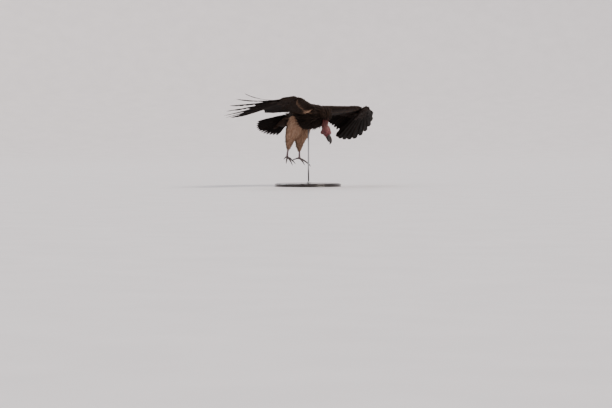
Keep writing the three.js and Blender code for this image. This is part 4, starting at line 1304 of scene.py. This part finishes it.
# ------------------------------------------------------------------ feathers of the body
# Broad brown feathers roof the back and long narrow dark ones hang in loose rows on breast and flanks.
# They lie from the neck to the tail, each over the roots of the next, with cream down on the legs.
def laid_rings(rng, key, spacing, lanes, t_from, t_to, towards=-1):
    """Roots in staggered rings on a form, where they reach the skin: places, normals, lie, t and turn."""
    form = FORMS[key]
    rings = max(3, int(form.length * (t_to - t_from) / spacing))
    ts, turns = [], []
    for k in range(rings):
        t = t_from + (t_to - t_from) * (k + 0.5) / rings
        count = max(6, int(form.girth(t, 24, -form.coat) / lanes))
        step = FULL_TURN / count
        turns.append((np.arange(count) + 0.5 * (k % 2)) * step + rng.normal(0, 0.12 * step, count))
        ts.append(np.clip(t + rng.normal(0, 0.18 / rings, count), 0.01, 0.99))
    t, turn = np.concatenate(ts), np.concatenate(turns)
    here, normal, ahead, _ = form.frame_at(t, turn, form.coat * -0.6)
    keep = on_skin(here)
    return [row[keep] for row in (here, normal, ahead * towards, t, turn)]


def place_on_unwrap(t, turn, left, low, wide, tall):
    return np.column_stack([left + wide * t, low + tall * ((turn / FULL_TURN) % 1)])


coat = Coat()
rng = np.random.default_rng(7)
here, normal, lie, t, turn = laid_rings(rng, "trunk", spacing=13, lanes=15, t_from=0.05, t_to=0.985)
spots = place_on_unwrap(t, turn, 0.02, 0.02, 0.6, 0.45)
tone = rng.uniform(0.1, 0.9, len(here))
above = smoothstep(normal[:, 2], -0.2, 0.5) > 0.5
below = ~above
coat.add(sheaf(rng, here[above], lie[above], normal[above], rng.uniform(52, 70, above.sum()), 15, lift=0.10,
               curve=0.06), spots[above], tone[above], armpit_pale(here[above], rng))
coat.add(sheaf(rng, here[below], lie[below] - UP * 0.10, normal[below], rng.uniform(70, 105, below.sum()), 8.5,
               lift=0.14, curve=0.05, outline="leaf", twist=0.14),
         spots[below], tone[below] * 0.7, armpit_pale(here[below], rng))
# Long loose plumes of the flanks hang back over the thighs.
for name, sign in SIDES.items():
    turn = rng.uniform(-0.80, -0.36, 30)
    turn = turn if name == "right" else math.pi - turn
    t = rng.uniform(0.61, 0.73, 30)
    here, normal, ahead, _ = FORMS["trunk"].frame_at(t, turn)
    keep = here[:, 1] * sign > 40
    here, normal, ahead, t, turn = (row[keep] for row in (here, normal, ahead, t, turn))
    coat.add(sheaf(rng, here, -ahead - UP * 0.16, normal, rng.uniform(80, 120, len(here)), 7.5, lift=0.10,
                   curve=0.02, outline="leaf", twist=0.16),
             place_on_unwrap(t, turn, 0.02, 0.02, 0.6, 0.45), rng.uniform(0, 0.5, len(here)), np.zeros(len(here)))
here, normal, lie, t, turn = laid_rings(rng, "undertail", spacing=12, lanes=13, t_from=0.25, t_to=0.97, towards=1)
coat.add(sheaf(rng, here, lie, normal, rng.uniform(48, 66, len(here)), 11, lift=0.10, curve=0.04),
         place_on_unwrap(t, turn, 0.66, 0.02, 0.3, 0.45), rng.uniform(0.0, 0.55, len(here)), np.full(len(here), 0.03))
here, normal, lie, t, turn = laid_rings(rng, "ruff", spacing=7.5, lanes=8.5, t_from=0.04, t_to=0.965)
size = np.interp(t, [0, 0.6, 0.9, 1.0], [60, 50, 28, 14])
coat.add(sheaf(rng, here, lie, normal, size * rng.uniform(0.85, 1.15, len(here)), 2.6 + size * 0.09, lift=0.10,
               curve=0.04, outline="leaf", twist=0.13),
         place_on_unwrap(t, turn, 0.02, 0.5, 0.6, 0.45), rng.uniform(0.2, 0.9, len(here)), np.zeros(len(here)))
coat.piece("body_feathers")

# Down trousers: soft cream plumes from the thigh to the ankle, browner along the back of the leg, partly as brown down
# and partly as painted shade.
for name, sign in SIDES.items():
    coat = Coat()
    rng = np.random.default_rng(17 + sign)
    here, normal, lie, t, turn = laid_rings(rng, f"shank_{name}", spacing=6.6, lanes=7.0, t_from=0.04, t_to=0.985,
                                            towards=1)
    many = len(here)
    size = np.interp(t, [0, 0.4, 0.8, 1.0], [58, 54, 40, 20])
    # Rear-facing feathers are browner: partly brown down and partly painted shade.
    rear = smoothstep(-normal[:, 0], 0.0, 0.7)
    mark = (0.95 - 0.85 * rear * np.clip(rng.normal(0.95, 0.2, many), 0, 1) - 0.25 * rng.uniform(0, 1, many) ** 3
            - 0.25 * smoothstep(t, 0.35, 0.9))
    coat.add(sheaf(rng, here, lie - (0.10, 0, 0.12), normal, size * rng.uniform(0.75, 1.25, many),
                   size * rng.uniform(0.07, 0.11, many), lift=0.17, curve=0.11, outline="leaf", twist=0.26,
                   crown=0.3, ragged=0.25),
             place_on_unwrap(t, turn, 0.02, 0.02, 0.95, 0.95), rng.uniform(0, 1, many), np.clip(mark, 0, 1))
    coat.piece(f"trouser_down_{name}", "trouser_down")

# Where the body's forms run together, feathers like their neighbours grow in the gaps between rows:
# one to a cell of space where no other root is near, and all over the thinly covered wrist.
roots, tones = np.vstack(laid), np.concatenate(laid_pale)
near_roots = kdtree.KDTree(len(roots))
for i, root in enumerate(roots):
    near_roots.insert(root[:3], i)
near_roots.balance()
spots, outward = points_of(skin_mesh) / MM, points_of(skin_mesh, "normal")
by_wrist = np.min([np.linalg.norm(spots - b["wrist"] - b["out"] * 5, axis=1) for b in BONES.values()], axis=0)
uncovered = by_wrist < 95
for piece in covert_pieces:
    covert_tree = BVHTree.FromObject(piece, bpy.context.evaluated_depsgraph_get())
    for i in np.flatnonzero(uncovered):
        start = Vector((spots[i] - outward[i]) * MM)
        uncovered[i] = covert_tree.ray_cast(start, Vector(outward[i]), 0.016)[0] is None
clothed = np.flatnonzero((marks_of(spots)[0] < 0.04) & ((np.abs(spots[:, 1]) < 150) | uncovered))
rng = np.random.default_rng(83)
rng.shuffle(clothed)
taken, chosen, likes = set(), [], []
for i in clothed:
    cell = tuple((spots[i] // (6.5 if uncovered[i] else 9)).astype(int))
    _, k, gap = near_roots.find(spots[i])
    if cell not in taken and (uncovered[i] or (gap > 11 and roots[k, 6] < 120)):
        taken.add(cell)
        chosen.append(i)
        likes.append([n for _, n, _ in near_roots.find_n(spots[i], 5)])
here, rise, likes = spots[chosen], outward[chosen], np.array(likes)
lie = roots[likes, 3:6].mean(1)
lie = unit(lie - rise * (lie * rise).sum(1)[:, None])
# The wrist is thinly covered, so its feathers are short and lie flat.
wrist = smoothstep(by_wrist[chosen], 120, 100)
size = np.clip(roots[likes, 6].mean(1), 14, lerp(62, 17, wrist))
wide = np.clip(roots[likes, 7].mean(1), 3, 13) * (1 - 0.35 * wrist)
coat = Coat()
coat.add(sheaf(rng, here - rise, lie, rise, size * rng.uniform(0.8, 1.05, len(here)), wide,
               lift=0.09 - 0.07 * wrist, curve=0.05 + 0.13 * wrist, outline="leaf"),
         np.column_stack([0.02 + 0.9 * np.clip((here[:, 0] + 350) / 700, 0, 1), 0.5 + here[:, 1] / 2600]),
         rng.uniform(0.1, 0.8, len(here)), tones[likes].mean(1))
coat.piece("gap_feathers")


# ------------------------------------------------------------------ bristles of the head
# Sparse whitish down and hair-like bristles on the crown, nape and chin of the bare head. Each is a
# shaft 3 to 8 mm long, rooted in the skin and leaning back towards the neck.
coat = Coat()
rng = np.random.default_rng(61)
s, c = head_places(spots)
likely = (smoothstep(c, -6, 22) * 0.9 + smoothstep(c, -18, -30) * 0.8) * smoothstep(s, -46, -30) * smoothstep(s, 92, 84)
for centre in eye_centre.values():
    likely *= smoothstep(np.linalg.norm(spots - centre, axis=1), 16, 22)
likely *= smoothstep(spots[:, 0], 150, 165) * smoothstep(spots[:, 2], 622, 606)
many = 1000
chosen = rng.choice(len(spots), many, replace=False, p=likely / likely.sum())
here, rise, s, c = (row[chosen] for row in (spots, outward, s, c))
lie = rng.normal(0, 0.35, (many, 3)) - head_along
lie = unit(lie - rise * (lie * rise).sum(1)[:, None])
length = rng.uniform(3.0, 6.5, many) * np.where(c < -10, 1.3, 1.0)
made = sheaf(rng, here - rise * 0.3, lie, rise, length, 0.17, lift=rng.uniform(0.35, 0.8, many), curve=0.16,
             outline="down", twist=0.3)
around = np.arctan2(here[:, 1], c)
coat.add(made, np.column_stack([0.05 + 0.9 * np.clip((s + 50) / 150, 0, 1), 0.5 + around / 7]),
         rng.uniform(0.3, 1, many), np.full(many, 0.7))
coat.piece("head_bristles")


# ------------------------------------------------------------------ floor, light and camera
# A plain pale studio floor that sweeps up far away on all sides, broad soft light from the viewer's
# upper right, and a level long lens low in front of the bird's right side.
look = Look("matt_studio_floor")
grain = look.noise(look.place(), 3.0, 6.0)
look.surface(Base_Color=look.ramp(grain, (0.3, "d9d6d8"), (0.7, "dfdcde")), Roughness=0.85)
turns = np.linspace(0, FULL_TURN, 96, endpoint=False)
sweep = ((26.0, 0.0), (30.0, 0.3), (34.0, 1.6), (37.0, 4.2), (39.0, 8.0), (40.0, 13.0))
below_base = 0.0004
points = [(0, 0, -below_base)] + [(r * math.cos(a), r * math.sin(a), z - below_base) for r, z in sweep for a in turns]
mesh_piece("studio_floor", points, fan(0, 1, 96) + bands(len(sweep), 96, turned=True, first=1),
                    look.material)

view = math.radians(40)
to_viewer = Vector((math.sin(view), -math.cos(view), 0))
to_right = Vector((math.cos(view), math.sin(view), 0))
for name, aim, strength, spread, colour in (
        ("key_light", to_viewer * 0.9 + to_right * 1.35 + Vector((0, 0, 1.7)), 3.4, 24, "fff4ea"),
        ("fill_light", to_viewer * 1.2 - to_right * 1.6 + Vector((0, 0, 0.7)), 0.7, 50, "eef1ff"),
        ("rim_light", -to_viewer * 1.5 - to_right * 0.6 + Vector((0, 0, 1.6)), 1.2, 40, "ffffff")):
    lamp = bpy.data.lights.new(name, "SUN")
    lamp.energy, lamp.angle = strength, math.radians(spread)
    lamp.color = srgb(colour)[:3]
    placed(name, lamp).rotation_euler = aim.to_track_quat("Z", "Y").to_euler()
world = bpy.data.worlds.new("studio_surround")
world.use_nodes = True
fill(world.node_tree, world.node_tree.nodes["Background"], {"Color": srgb("e6e4ea"), "Strength": 0.65})
bpy.context.scene.world = world

distance, width_seen, lens_height = 20.0, 5.6916, 0.45
lens = bpy.data.cameras.new("camera")
lens.lens = lens.sensor_width * distance / width_seen
lens.clip_end = 200.0
camera = placed("camera", lens)
aside = to_right * -0.0186
aim = aside + Vector((0, 0, -0.163))
camera.location = to_viewer * distance + aside + Vector((0, 0, lens_height))
camera.rotation_euler = (aim - camera.location).to_track_quat("-Z", "Y").to_euler()
bpy.context.scene.camera = camera
